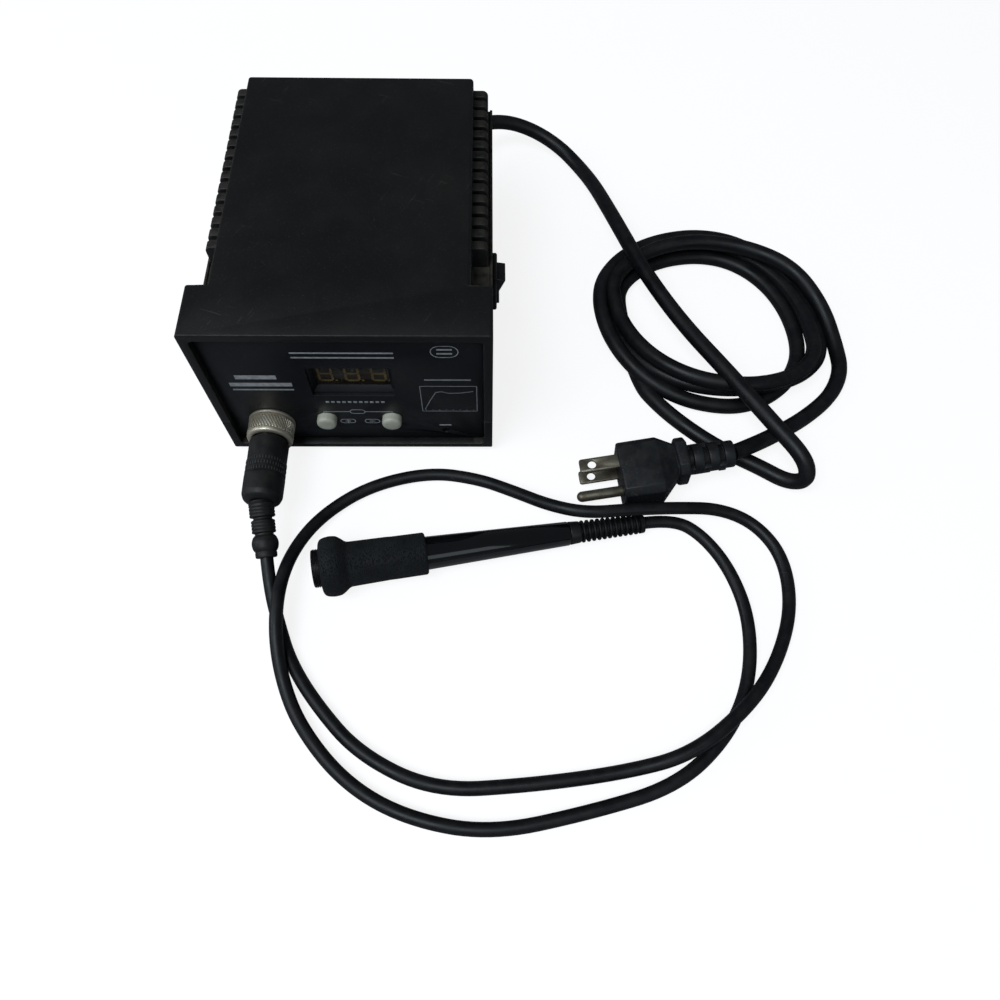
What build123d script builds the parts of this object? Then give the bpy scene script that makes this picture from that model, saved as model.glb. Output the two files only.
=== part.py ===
from build123d import *
import math
import os

os.makedirs("parts", exist_ok=True)

# Frame: millimetres, +Z up, +Y towards the rear panel, +X to the station's right.
# The origin is the middle of the station's footprint, on the plane its feet stand on.

# ---------------------------------------------------------------- housing
HOUSING_WIDTH = 120.0
HOUSING_DEPTH = 146.0
HOUSING_TOP = 87.0
FOOT_HEIGHT = 3.0
FOOT_RADIUS = 6.5
FOOT_INSET_X = 13.0
FOOT_INSET_Y = 11.0
WALL = 2.5
FRONT_WALL = 3.5
SPLIT_HEIGHT = 26.0
TOP_PLATE_WIDTH = 102.6
LEDGE_HEIGHT = 70.0
SHOULDER_LENGTH = 24.5
CORNER_RADIUS = 1.6
LIP_HEIGHT = 0.8
LIP_THICKNESS = 1.2
TONGUE_HEIGHT = 2.0
TONGUE_THICKNESS = 1.0
SEAM_CLEARANCE = 0.2
BOSS_WEB_THICKNESS = 2.0

# How far a cut runs past the face it opens, and how far joined pieces run into each other
CUT = 1.0
LAP = 0.5
NIP = 0.1
THREAD_CLEARANCE = 0.05

# Vent ribs on the two side ledges
RIB_BLOCK_LENGTH = 97.0
RIB_PITCH = 6.6
RIB_THICKNESS = 4.4
RIB_REACH = 6.7
RIB_HEIGHT = 11.0
RIB_CORNER = 2.6
SLOT_DEPTH_BELOW_LEDGE = 4.0

# Slots in the floor of the base, in front of the transformer
FLOOR_VENT_COUNT = 9
FLOOR_VENT_PITCH = 6.6
FLOOR_VENT_WIDTH = 2.4
FLOOR_VENT_START = 30.0
FLOOR_VENT_MARGIN = 10.0

# Panels seated behind the openings of the front and rear walls
PANEL_THICKNESS = 2.0
PANEL_MARGIN = 0.3
FRONT_OPENING_WIDTH = 112.4
FRONT_OPENING_BOTTOM = 7.0
FRONT_OPENING_TOP = 83.0
REAR_OPENING_WIDTH = 96.0
REAR_OPENING_BOTTOM = 11.0
REAR_OPENING_TOP = 77.0
OPENING_CORNER = 2.0

# ---------------------------------------------------------------- front controls
WINDOW_WIDTH = 35.0
WINDOW_HEIGHT = 19.8
WINDOW_X = 0.7
WINDOW_Z = 51.3
DISPLAY_WIDTH = 31.0
DISPLAY_HEIGHT = 15.5
DISPLAY_RIM = 0.8
DISPLAY_RECESS = 2.6
BEZEL_WALL = 1.4

BUTTON_RADIUS = 4.4
BUTTON_PROUD = 4.0
BUTTON_FLANGE_RADIUS = 5.8
BUTTON_FLANGE_THICKNESS = 1.2
BUTTON_TRAVEL = 1.0
BUTTON_ROUNDING = 1.1
BUTTON_GAP = 0.3
BUTTON_Z = 23.3
BUTTON_X = {"up": -14.0, "down": 15.0}
TACT_SIDE = 6.0
TACT_HEIGHT = 4.0
TACT_STEM_RADIUS = 1.75

TRIMMER_X = 38.7
TRIMMER_Z = 13.2
TRIMMER_HOLE_RADIUS = 1.6
TRIMMER_SIDE = 7.0
TRIMMER_HEIGHT = 5.0
TRIMMER_SCREW_RADIUS = 1.5
TRIMMER_SCREW_CLEARANCE = 0.05
TRIMMER_SCREW_LENGTH = 3.0

# Board behind the front panel
BOARD_WIDTH = 74.0
BOARD_HEIGHT = 63.0
BOARD_THICKNESS = 1.6
BOARD_X = 12.5
BOARD_Z = 40.0
BOARD_GAP = 9.0
SPACER_RADIUS = 2.6
BOARD_SCREW_RADIUS = 1.5
BOARD_SCREW_HEAD_RADIUS = 2.8
BOARD_SCREW_HEAD_HEIGHT = 1.8
BOARD_SCREW_REACH = 6.0
BOARD_HOLE_SPACING_X = 67.0
BOARD_HOLE_SPACING_Z = 50.0

# ---------------------------------------------------------------- iron connector
SOCKET_X = -39.0
SOCKET_Z = 21.0
SOCKET_RADIUS = 7.8
SOCKET_FLANGE_RADIUS = 10.2
SOCKET_FLANGE_THICKNESS = 1.2
SOCKET_NOSE = 7.0
SOCKET_REAR = 8.0
SOCKET_BORE_RADIUS = 6.4
SOCKET_NUT_SIZE = 20.0
SOCKET_NUT_THICKNESS = 2.4
PIN_RADIUS = 0.7
PIN_CIRCLE_RADIUS = 3.4
PIN_COUNT = 5
RING_RADIUS = 10.0
RING_BORE_RADIUS = 8.1
RING_LENGTH = 9.0
RING_GAP = 0.3
RING_BEVEL = 0.7
CONNECTOR_RADIUS = 8.8
CONNECTOR_LENGTH = 26.5
CONNECTOR_TAPER_LENGTH = 4.0
CONNECTOR_END_RADIUS = 5.6
CONNECTOR_NECK_RADIUS = 7.7
RELIEF_CORE_RADIUS = 3.9
RELIEF_DROOP = 20.0
RELIEF_YAW = 8.0
RELIEF_SEGMENTS = ((0.0, 6.2, 5.4), (7.2, 5.6, 5.1))
RELIEF_BALL_START = 13.8
RELIEF_BALL_LENGTH = 7.0
RELIEF_BALL_RADIUS = 5.6
RELIEF_LIP_LENGTH = 2.6
RELIEF_LIP_RADIUS = 4.6

# ---------------------------------------------------------------- iron
IRON_EXIT = (127.4, -112.7, 5.0)
IRON_YAW = 190.0
IRON_NOSE_UP = 3.45
IRON_RELIEF_LENGTH = 29.5
IRON_RELIEF_RINGS = 12
IRON_RELIEF_CORE = 3.7
IRON_RING_REAR_RADIUS = 4.6
IRON_RING_FRONT_RADIUS = 5.0
IRON_CAP_LENGTH = 5.0
IRON_TUBE_REAR_RADIUS = 5.3
IRON_TUBE_FRONT_RADIUS = 7.2
IRON_TUBE_WALL = 0.8
IRON_TUBE_TAPER_LENGTH = 63.0
IRON_GRIP_LENGTH = 44.8
IRON_GRIP_REAR_WALL = 2.0
IRON_GRIP_NECK_WALL = 2.7
IRON_GRIP_FLARE_WALL = 5.8
IRON_GRIP_FLARE_LENGTH = 12.5
IRON_GRIP_CLEARANCE = 0.05
IRON_COLLAR_STEP = 1.0
IRON_COLLAR_LENGTH = 3.3
IRON_COLLAR_BORE = 5.2
IRON_SPIGOT_LENGTH = 9.0
IRON_SOCKET_LENGTH = 10.0
IRON_CORD_GAP = 0.5

# ---------------------------------------------------------------- power side
ROCKER_Y = -12.0
ROCKER_Z = 48.0
SWITCH_BEZEL_LENGTH = 21.0
SWITCH_BEZEL_WIDTH = 15.0
SWITCH_BEZEL_THICKNESS = 2.0
TAB_WIDTH = 4.8
TAB_THICKNESS = 0.8
SWITCH_BODY_LENGTH = 19.0
SWITCH_BODY_WIDTH = 13.0
SWITCH_BODY_DEPTH = 14.0
SWITCH_HOLE_MARGIN = 0.2
ROCKER_LENGTH = 15.6
ROCKER_WIDTH = 10.4
ROCKER_TILT = 10.0
ROCKER_END_PROUD = 4.6
ROCKER_MIDDLE_PROUD = 3.0
ROCKER_PIVOT_DEPTH = 2.0
ROCKER_TAIL_DEPTH = 5.0
ROCKER_POCKET_MARGIN = 1.0

LOUVRE_COUNT = 7
LOUVRE_LOWEST = 44.0
LOUVRE_PITCH = 4.4
LOUVRE_WIDTH = 1.8
LOUVRE_LEFT = -36.0
LOUVRE_RIGHT = 8.0

GLAND_X = 36.0
GLAND_Z = 22.0
GLAND_RADIUS = 8.0
GLAND_TIP_RADIUS = 5.2
GLAND_LENGTH = 18.0
GLAND_FLANGE_THICKNESS = 2.0
GLAND_RINGS = 5
GLAND_THREAD_RADIUS = 6.2
GLAND_THREAD_LENGTH = 8.0
GLAND_NUT_SIZE = 17.0
GLAND_NUT_THICKNESS = 3.0

FUSE_X = 4.0
FUSE_Z = 24.0
FUSE_RADIUS = 6.0
FUSE_FLANGE_RADIUS = 7.5
FUSE_FLANGE_THICKNESS = 1.6
FUSE_BODY_LENGTH = 26.0
FUSE_CAP_RADIUS = 5.2
FUSE_CAP_LENGTH = 7.0
FUSE_CAP_SLOT = 1.2

TRANSFORMER_FUSE_GAP = 5.5
CORE_WIDTH = 57.0
CORE_DEPTH = 30.0
CORE_HEIGHT = 48.0
CORE_WINDOW_WIDTH = 9.5
CORE_WINDOW_HEIGHT = 28.0
CORE_LEG_WIDTH = 19.0
WINDING_MARGIN = 0.3
WINDING_OVERHANG = 8.0
BRACKET_THICKNESS = 1.2
BRACKET_FOOT_LENGTH = 12.0
BRACKET_SCREW_RADIUS = 1.8
BRACKET_SCREW_HEAD_RADIUS = 3.4
BRACKET_SCREW_HEAD_HEIGHT = 2.2
BRACKET_SCREW_LENGTH = 7.0
PLINTH_HEIGHT = 6.0

CASE_SCREW_RADIUS = 1.7
CASE_SCREW_HEAD_RADIUS = 3.2
CASE_SCREW_HEAD_HEIGHT = 2.2
CASE_SCREW_LENGTH = 26.0
BOSS_RADIUS = 4.0
BOSS_INSET_X = 8.5
BOSS_INSET_Y = 24.0
BOSS_GAP = 0.3

# ---------------------------------------------------------------- mains plug, a grounded three-pin one
PLUG_FACE = (116.7, -87.7, 11.6)
PLUG_YAW = 187.0
PLUG_NOSE_DOWN = 5.5
PLUG_ROLL = 3.0
PLUG_LENGTH = 31.0
PLUG_HALF_THICKNESS = 10.5
PLUG_BLADE_SIDE = 8.5
PLUG_GROUND_SIDE = 18.5
PLUG_SHOULDER = 21.0
PLUG_AXIS_OFFSET = 2.0
PLUG_COLLAR_LENGTH = 4.5
PLUG_COLLAR_RADIUS = 9.6
PLUG_RELIEF_LENGTH = 21.0
PLUG_RELIEF_RADIUS = 7.0
PLUG_RELIEF_TIP_RADIUS = 6.2
PLUG_RELIEF_CORE = 4.9
PLUG_RELIEF_SEGMENTS = 3
PLUG_RELIEF_GAP = 1.8
BLADE_WIDTH = 6.35
BLADE_THICKNESS = 1.5
BLADE_LENGTH = 17.5
BLADE_SPACING = 12.7
BLADE_HOLE_RADIUS = 1.9
BLADE_HOLE_POSITION = 11.9
BLADE_ROOT = 4.0
GROUND_PIN_RADIUS = 2.4
GROUND_PIN_LENGTH = 20.6
GROUND_PIN_OFFSET = 11.9
GROUND_PIN_ROOT_RADIUS = 2.0

# ---------------------------------------------------------------- cords
IRON_CORD_DIAMETER = 5.6
MAINS_CORD_DIAMETER = 7.5
RUN_SHARE = 0.45
CORD_STRAIGHT_OUT = 13.0

# Loose coil of the mains lead: an elliptical ring, its long axis turned about Z
COIL_CENTRE = (170.0, 1.0)
COIL_OUTER = (63.5, 51.7)
COIL_INNER = (44.5, 36.5)
COIL_TURN = -34.0
COIL_HEIGHT = 16.5
COIL_EDGE = 3.5

IRON_CORD_ROUTE = [
    (-30.0, -159.0, 3.2),
    (-23.5, -175.0, 3.0),
    (-11.5, -192.0, 3.0),
    (7.0, -211.5, 3.0),
    (37.0, -225.5, 3.0),
    (74.0, -223.5, 3.0),
    (111.0, -219.0, 3.0),
    (138.0, -213.0, 8.5),
    (163.0, -194.0, 10.0),
    (179.0, -174.0, 4.0),
    (188.5, -151.0, 3.0),
    (188.5, -128.0, 3.0),
    (178.5, -112.5, 3.5),
    (162.5, -106.0, 6.5),
    (141.0, -109.3, 15.5),
    (120.0, -110.5, 19.5),
    (101.0, -112.5, 20.5),
    (85.0, -107.5, 17.5),
    (70.5, -98.0, 8.5),
    (53.5, -89.5, 3.2),
    (31.0, -86.0, 3.0),
    (4.0, -93.0, 3.0),
    (-15.5, -107.0, 3.2),
    (-25.5, -124.0, 7.5),
    (-29.5, -143.0, 13.0),
    (-29.5, -163.0, 12.5),
    (-26.0, -182.0, 6.0),
    (-17.0, -201.0, 3.0),
    (2.0, -222.0, 3.0),
    (26.0, -235.0, 3.0),
    (58.5, -241.0, 3.0),
    (97.0, -233.5, 3.0),
    (132.0, -224.0, 3.0),
    (154.5, -204.5, 3.0),
    (166.0, -183.0, 3.0),
    (169.5, -157.0, 3.0),
    (164.5, -135.0, 3.0),
    (154.5, -118.5, 3.0),
    (141.8, -110.4, 4.2),
]

MAINS_LEAD_ROUTE = [
    (36.0, 99.5, 22.0),
    (42.0, 114.5, 21.8),
    (53.0, 126.5, 20.5),
    (68.0, 132.5, 17.5),
    (84.0, 131.5, 12.5),
    (99.0, 124.0, 7.5),
    (110.0, 110.5, 5.0),
    (116.5, 92.5, 9.0),
    (121.0, 70.0, 16.0),
    (126.5, 46.0, 21.5),
    (136.0, 19.0, 21.5),
    (152.5, -12.5, 19.5),
    (171.0, -43.5, 21.5),
    (188.0, -71.0, 21.5),
    (199.5, -87.5, 20.8),
    (200.5, -93.5, 12.4),
    (195.5, -91.5, 4.2),
    (183.5, -83.0, 4.0),
    (168.0, -74.5, 4.0),
    (154.0, -63.5, 4.0),
    (141.5, -51.0, 4.0),
]
MAINS_LEAD_END = (132.5, -33.5, 4.0)

MAINS_TAIL_START = (222.0, 22.0, 8.0)
MAINS_TAIL_ROUTE = [
    (229.5, 9.0, 6.0),
    (235.5, -9.0, 4.2),
    (234.5, -28.0, 4.0),
    (225.5, -44.5, 4.0),
    (210.0, -57.0, 4.0),
    (195.0, -66.5, 6.0),
    (181.5, -76.0, 12.5),
]


# ---------------------------------------------------------------- helpers
def block(x, y, z):
    """Box between the two ends given for each axis."""
    size = Box(x[1] - x[0], y[1] - y[0], z[1] - z[0])
    return Pos((x[0] + x[1]) / 2, (y[0] + y[1]) / 2, (z[0] + z[1]) / 2) * size


def rod_y(radius, y, at):
    """Cylinder along Y between two Y values, at an (x, z) place."""
    turned = Rot(90, 0, 0) * Cylinder(radius, y[1] - y[0])
    return Pos(at[0], (y[0] + y[1]) / 2, at[1]) * turned


def rod_z(radius, z, at):
    """Cylinder along Z between two Z values, at an (x, y) place."""
    return Pos(at[0], at[1], (z[0] + z[1]) / 2) * Cylinder(radius, z[1] - z[0])


def turned_x(profile):
    """Solid of revolution about the local X axis, from (along, radius) points."""
    start = (profile[0][0], 0.0)
    end = (profile[-1][0], 0.0)
    outline = Polyline(start, *profile, end, close=True)
    return revolve(make_face(Plane.XY * outline), axis=Axis.X)


def rod_x(radius, x):
    """Cylinder about the local X axis between two X values."""
    return Pos((x[0] + x[1]) / 2, 0, 0) * (Rot(0, 90, 0) * Cylinder(radius, x[1] - x[0]))


def rounded_plate(width, bottom, top, y, corner):
    """Plate with rounded corners, seen along Y, centred on x = 0."""
    middle = (bottom + top) / 2
    outline = RectangleRounded(width, top - bottom, corner)
    placed = Plane(origin=(0, y[1], middle), x_dir=(1, 0, 0), z_dir=(0, -1, 0)) * outline
    return extrude(placed, amount=y[1] - y[0])


def hexagon_y(across_flats, y, at):
    """Hexagonal nut blank along Y."""
    outline = RegularPolygon(across_flats / 2, 6, major_radius=False)
    placed = Plane(origin=(at[0], y[1], at[1]), x_dir=(1, 0, 0), z_dir=(0, -1, 0)) * outline
    return extrude(placed, amount=y[1] - y[0])


def placed_by(origin, direction, up=(0, 0, 1)):
    """Location whose local X runs along a direction, with local Z as near up as it can be."""
    x_dir = Vector(*direction).normalized()
    side = Vector(*up).cross(x_dir)
    z_dir = x_dir.cross(side).normalized()
    return Location(Plane(origin=origin, x_dir=x_dir, z_dir=z_dir))


def aimed(yaw, pitch):
    """Unit direction from a yaw about Z and a pitch above the level, in degrees."""
    yaw, pitch = math.radians(yaw), math.radians(pitch)
    level = math.cos(pitch)
    return (math.cos(yaw) * level, math.sin(yaw) * level, math.sin(pitch))


def stepped(origin, direction, distance):
    """Point at a distance from an origin along a unit direction."""
    return tuple(o + d * distance for o, d in zip(origin, direction))


def cord_tube(points, diameter, name):
    """Tube along straight runs joined by tangent arcs, each as large as its runs allow."""
    corners = [Vector(*p) for p in points]
    runs = [b - a for a, b in zip(corners, corners[1:])]
    radii = []
    for before, after in zip(runs, runs[1:]):
        half_turn = math.radians(before.get_angle(after) / 2)
        shorter = min(before.length, after.length)
        radii.append(RUN_SHARE * shorter / math.tan(half_turn))
    path = FilletPolyline(*corners, radius=radii)
    section = Plane(origin=path @ 0, z_dir=path % 0) * Circle(diameter / 2)
    tube = sweep(section, path=path)
    expected = math.pi * diameter**2 / 4 * path.length
    print(name, "length", round(path.length, 1), "volume ratio", round(tube.volume / expected, 4))
    print(name, "radii", [round(r, 1) for r in radii])
    return tube


def save(name, shape):
    """Write one node's STEP file."""
    export_step(shape, f"parts/{name}.step")


# ---------------------------------------------------------------- shared places
HALF_WIDTH = HOUSING_WIDTH / 2
FRONT = -HOUSING_DEPTH / 2
REAR = HOUSING_DEPTH / 2
BASE_BOTTOM = FOOT_HEIGHT
SHOULDER_Y = FRONT + SHOULDER_LENGTH
PANEL_FRONT = FRONT + FRONT_WALL
PANEL_BACK = PANEL_FRONT + PANEL_THICKNESS
REAR_PANEL_INNER = REAR - WALL - PANEL_THICKNESS
BOARD_FRONT = PANEL_BACK + BOARD_GAP
FLOOR_TOP = BASE_BOTTOM + WALL
WINDING_REAR = REAR_PANEL_INNER - FUSE_BODY_LENGTH - TRANSFORMER_FUSE_GAP
TRANSFORMER_Y = WINDING_REAR - WINDING_OVERHANG - CORE_DEPTH / 2
RIB_COUNT = int((RIB_BLOCK_LENGTH - RIB_THICKNESS) / RIB_PITCH) + 1
CASE_SCREW_PLACES = [
    (sx * (HALF_WIDTH - BOSS_INSET_X), sy * (HOUSING_DEPTH / 2 - BOSS_INSET_Y))
    for sx in (-1, 1)
    for sy in (-1, 1)
]


# ---------------------------------------------------------------- housing
def rear_profile(inset, bottom):
    """Stepped section of the housing behind the shoulders, seen along Y."""
    half = HALF_WIDTH - inset
    plate = TOP_PLATE_WIDTH / 2 - inset
    ledge = LEDGE_HEIGHT - inset
    top = HOUSING_TOP - inset
    return Polyline(
        (-half, bottom), (half, bottom), (half, ledge), (plate, ledge), (plate, top),
        (-plate, top), (-plate, ledge), (-half, ledge), close=True,
    )


def extruded_along_y(outline, y):
    """Solid of an XZ outline between two Y values."""
    face = make_face(outline)
    placed = Plane(origin=(0, y[1], 0), x_dir=(1, 0, 0), z_dir=(0, -1, 0)) * face
    return extrude(placed, amount=y[1] - y[0])


def cover_rib(side, y):
    """One vent rib standing on a side ledge, with a rounded outer corner."""
    inner = TOP_PLATE_WIDTH / 2 - LAP
    outer = TOP_PLATE_WIDTH / 2 + RIB_REACH
    rib = block((inner, outer), (y - RIB_THICKNESS / 2, y + RIB_THICKNESS / 2),
                (LEDGE_HEIGHT - LAP, LEDGE_HEIGHT + RIB_HEIGHT))
    corner = rib.edges().filter_by(Axis.Y).sort_by(lambda e: e.center().X + e.center().Z)[-1]
    rib = fillet(corner, RIB_CORNER)
    return rib if side > 0 else mirror(rib, about=Plane.YZ)


def make_top_cover():
    """Upper shell: front block with shoulders, raised top plate, ribbed side ledges."""
    rear = extruded_along_y(rear_profile(0.0, SPLIT_HEIGHT), (SHOULDER_Y - CUT, REAR))
    front = block((-HALF_WIDTH, HALF_WIDTH), (FRONT, SHOULDER_Y), (SPLIT_HEIGHT, HOUSING_TOP))
    shell = front + rear
    outer_edges = shell.edges().filter_by(Axis.Y).filter_by(
        lambda e: e.center().Z > HOUSING_TOP - 0.1)
    shell = fillet(outer_edges, CORNER_RADIUS)
    inner_rear = extruded_along_y(rear_profile(WALL, SPLIT_HEIGHT - CUT),
                                  (SHOULDER_Y - WALL - CUT, REAR - WALL))
    inner_front = block((-HALF_WIDTH + WALL, HALF_WIDTH - WALL),
                        (PANEL_FRONT, SHOULDER_Y - WALL), (SPLIT_HEIGHT - CUT, HOUSING_TOP - WALL))
    shell -= inner_rear
    shell -= inner_front
    shell -= rounded_plate(FRONT_OPENING_WIDTH, FRONT_OPENING_BOTTOM, FRONT_OPENING_TOP,
                           (FRONT - CUT, PANEL_FRONT + LAP), OPENING_CORNER)
    shell -= rounded_plate(REAR_OPENING_WIDTH, REAR_OPENING_BOTTOM, REAR_OPENING_TOP,
                           (REAR - WALL - LAP, REAR + CUT), OPENING_CORNER)
    first_rib = REAR - RIB_THICKNESS / 2
    for side in (-1, 1):
        lip_x = sorted((side * HALF_WIDTH, side * (HALF_WIDTH - LIP_THICKNESS)))
        shell += block(lip_x, (SHOULDER_Y, REAR), (LEDGE_HEIGHT - LAP, LEDGE_HEIGHT + LIP_HEIGHT))
        for index in range(RIB_COUNT):
            shell += cover_rib(side, first_rib - index * RIB_PITCH)
        for index in range(RIB_COUNT - 1):
            middle = first_rib - (index + 0.5) * RIB_PITCH
            half_slot = (RIB_PITCH - RIB_THICKNESS) / 2
            slot_x = sorted((side * (TOP_PLATE_WIDTH / 2 - WALL - CUT),
                             side * (TOP_PLATE_WIDTH / 2 + RIB_REACH - 1.2)))
            shell -= block(slot_x, (middle - half_slot, middle + half_slot),
                           (LEDGE_HEIGHT - SLOT_DEPTH_BELOW_LEDGE, LEDGE_HEIGHT + RIB_HEIGHT - CUT))
    switch_hole_y = SWITCH_BODY_WIDTH / 2 + SWITCH_HOLE_MARGIN
    switch_hole_z = SWITCH_BODY_LENGTH / 2 + SWITCH_HOLE_MARGIN
    shell -= block((HALF_WIDTH - WALL - CUT, HALF_WIDTH + CUT),
                   (ROCKER_Y - switch_hole_y, ROCKER_Y + switch_hole_y),
                   (ROCKER_Z - switch_hole_z, ROCKER_Z + switch_hole_z))
    boss_bottom = SPLIT_HEIGHT + TONGUE_HEIGHT
    for x, y in CASE_SCREW_PLACES:
        wall_x = sorted((x, math.copysign(HALF_WIDTH - WALL + 2 * NIP, x)))
        boss = rod_z(BOSS_RADIUS, (boss_bottom, LEDGE_HEIGHT - WALL + 2 * NIP), (x, y))
        web_y = (y - BOSS_WEB_THICKNESS / 2, y + BOSS_WEB_THICKNESS / 2)
        boss += block(wall_x, web_y, (boss_bottom, LEDGE_HEIGHT - WALL + 2 * NIP))
        shell += boss
        shell -= rod_z(CASE_SCREW_RADIUS, (boss_bottom - CUT, boss_bottom + CASE_SCREW_LENGTH), (x, y))
    return shell


def make_base_shell():
    """Lower tray with a tongue inside the seam, screw posts, a plinth and floor vents."""
    tray = block((-HALF_WIDTH, HALF_WIDTH), (FRONT, REAR), (BASE_BOTTOM, SPLIT_HEIGHT))
    tray = fillet(tray.edges().group_by(Axis.Z)[0], CORNER_RADIUS)
    tray -= block((-HALF_WIDTH + WALL, HALF_WIDTH - WALL), (PANEL_FRONT, REAR - WALL),
                  (FLOOR_TOP, SPLIT_HEIGHT + CUT))
    tongue_out = HALF_WIDTH - WALL - SEAM_CLEARANCE
    tongue_in = tongue_out - TONGUE_THICKNESS
    for side in (-1, 1):
        tongue_x = sorted((side * tongue_out, side * tongue_in))
        root_x = sorted((side * (HALF_WIDTH - WALL + 2 * NIP), side * tongue_in))
        span_y = (PANEL_BACK + PANEL_MARGIN + 2.0, REAR_PANEL_INNER - PANEL_MARGIN - 2.0)
        tray += block(tongue_x, span_y, (SPLIT_HEIGHT - 4.0, SPLIT_HEIGHT + TONGUE_HEIGHT))
        tray += block(root_x, span_y, (SPLIT_HEIGHT - 4.0, SPLIT_HEIGHT - CUT))
    tray -= rounded_plate(FRONT_OPENING_WIDTH, FRONT_OPENING_BOTTOM, FRONT_OPENING_TOP,
                          (FRONT - CUT, PANEL_FRONT + LAP), OPENING_CORNER)
    tray -= rounded_plate(REAR_OPENING_WIDTH, REAR_OPENING_BOTTOM, REAR_OPENING_TOP,
                          (REAR - WALL - LAP, REAR + CUT), OPENING_CORNER)
    tray += block((-CORE_WIDTH / 2 - BRACKET_FOOT_LENGTH, CORE_WIDTH / 2 + BRACKET_FOOT_LENGTH),
                  (TRANSFORMER_Y - CORE_DEPTH / 2, TRANSFORMER_Y + CORE_DEPTH / 2),
                  (FLOOR_TOP - LAP, FLOOR_TOP + PLINTH_HEIGHT))
    for x, y in CASE_SCREW_PLACES:
        top = SPLIT_HEIGHT + TONGUE_HEIGHT - BOSS_GAP
        tray += rod_z(BOSS_RADIUS, (FLOOR_TOP - LAP, top), (x, y))
        tray -= rod_z(CASE_SCREW_RADIUS + 0.2, (BASE_BOTTOM - CUT, top + CUT), (x, y))
        head_top = BASE_BOTTOM + CASE_SCREW_HEAD_HEIGHT + 1.0
        tray -= rod_z(CASE_SCREW_HEAD_RADIUS + 0.3, (BASE_BOTTOM - CUT, head_top), (x, y))
    for sx in (-1, 1):
        screw_x = sx * (CORE_WIDTH / 2 + BRACKET_FOOT_LENGTH / 2)
        tray -= rod_z(BRACKET_SCREW_RADIUS, (FLOOR_TOP, FLOOR_TOP + PLINTH_HEIGHT + CUT),
                      (screw_x, TRANSFORMER_Y))
    vent_rear = TRANSFORMER_Y - CORE_DEPTH / 2 - FLOOR_VENT_MARGIN
    for index in range(FLOOR_VENT_COUNT):
        x = (index - (FLOOR_VENT_COUNT - 1) / 2) * FLOOR_VENT_PITCH
        half = FLOOR_VENT_WIDTH / 2
        tray -= block((x - half, x + half), (FRONT + FLOOR_VENT_START, vent_rear),
                      (BASE_BOTTOM - CUT, FLOOR_TOP + CUT))
    return tray


def make_rubber_feet():
    """Four round feet under the corners."""
    return [
        rod_z(FOOT_RADIUS, (0.0, BASE_BOTTOM),
              (sx * (HALF_WIDTH - FOOT_INSET_X), sy * (HOUSING_DEPTH / 2 - FOOT_INSET_Y)))
        for sx in (-1, 1)
        for sy in (-1, 1)
    ]


def make_case_screws():
    """Four screws that hold the cover down on the base."""
    screws = []
    head_bottom = BASE_BOTTOM + 0.8
    head_top = head_bottom + CASE_SCREW_HEAD_HEIGHT
    for place in CASE_SCREW_PLACES:
        head = rod_z(CASE_SCREW_HEAD_RADIUS, (head_bottom, head_top), place)
        slot_size = CASE_SCREW_HEAD_RADIUS * 1.1
        for half_x, half_y in ((slot_size / 2, 0.4), (0.4, slot_size / 2)):
            head -= block((place[0] - half_x, place[0] + half_x), (place[1] - half_y, place[1] + half_y),
                          (head_bottom - CUT, head_bottom + 0.9))
        shank_z = (head_top - NIP, head_bottom + CASE_SCREW_LENGTH)
        screws.append(head + rod_z(CASE_SCREW_RADIUS - THREAD_CLEARANCE, shank_z, place))
    return screws


# ---------------------------------------------------------------- panels and controls
def make_front_panel():
    """Front plate with the display window and the holes for the controls."""
    half = HALF_WIDTH - WALL - PANEL_MARGIN
    plate = block((-half, half), (PANEL_FRONT, PANEL_BACK),
                  (FLOOR_TOP + PANEL_MARGIN, HOUSING_TOP - WALL - PANEL_MARGIN))
    plate -= block((WINDOW_X - WINDOW_WIDTH / 2, WINDOW_X + WINDOW_WIDTH / 2),
                   (PANEL_FRONT - CUT, PANEL_BACK + CUT),
                   (WINDOW_Z - WINDOW_HEIGHT / 2, WINDOW_Z + WINDOW_HEIGHT / 2))
    through = (PANEL_FRONT - CUT, PANEL_BACK + CUT)
    for x in BUTTON_X.values():
        plate -= rod_y(BUTTON_RADIUS + BUTTON_GAP, through, (x, BUTTON_Z))
    plate -= rod_y(TRIMMER_HOLE_RADIUS, through, (TRIMMER_X, TRIMMER_Z))
    plate -= rod_y(SOCKET_RADIUS, through, (SOCKET_X, SOCKET_Z))
    return plate


def make_display_bezel():
    """Frame behind the window whose inner walls slope towards the display."""
    outer_w, outer_h = WINDOW_WIDTH + 2 * BEZEL_WALL, WINDOW_HEIGHT + 2 * BEZEL_WALL
    depth = DISPLAY_RECESS
    frame = block((WINDOW_X - outer_w / 2, WINDOW_X + outer_w / 2), (PANEL_BACK, PANEL_BACK + depth),
                  (WINDOW_Z - outer_h / 2, WINDOW_Z + outer_h / 2))
    front = Plane(origin=(WINDOW_X, PANEL_BACK, WINDOW_Z), x_dir=(1, 0, 0), z_dir=(0, -1, 0))
    back = Plane(origin=(WINDOW_X, PANEL_BACK + depth, WINDOW_Z), x_dir=(1, 0, 0), z_dir=(0, -1, 0))
    funnel = loft([front * Rectangle(WINDOW_WIDTH, WINDOW_HEIGHT),
                   back * Rectangle(DISPLAY_WIDTH, DISPLAY_HEIGHT)])
    return frame - funnel


def make_led_display():
    """Three-digit display module seated against the bezel."""
    front = PANEL_BACK + DISPLAY_RECESS
    half_w, half_h = DISPLAY_WIDTH / 2 + DISPLAY_RIM, DISPLAY_HEIGHT / 2 + DISPLAY_RIM
    return block((WINDOW_X - half_w, WINDOW_X + half_w), (front, BOARD_FRONT),
                 (WINDOW_Z - half_h, WINDOW_Z + half_h))


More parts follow.
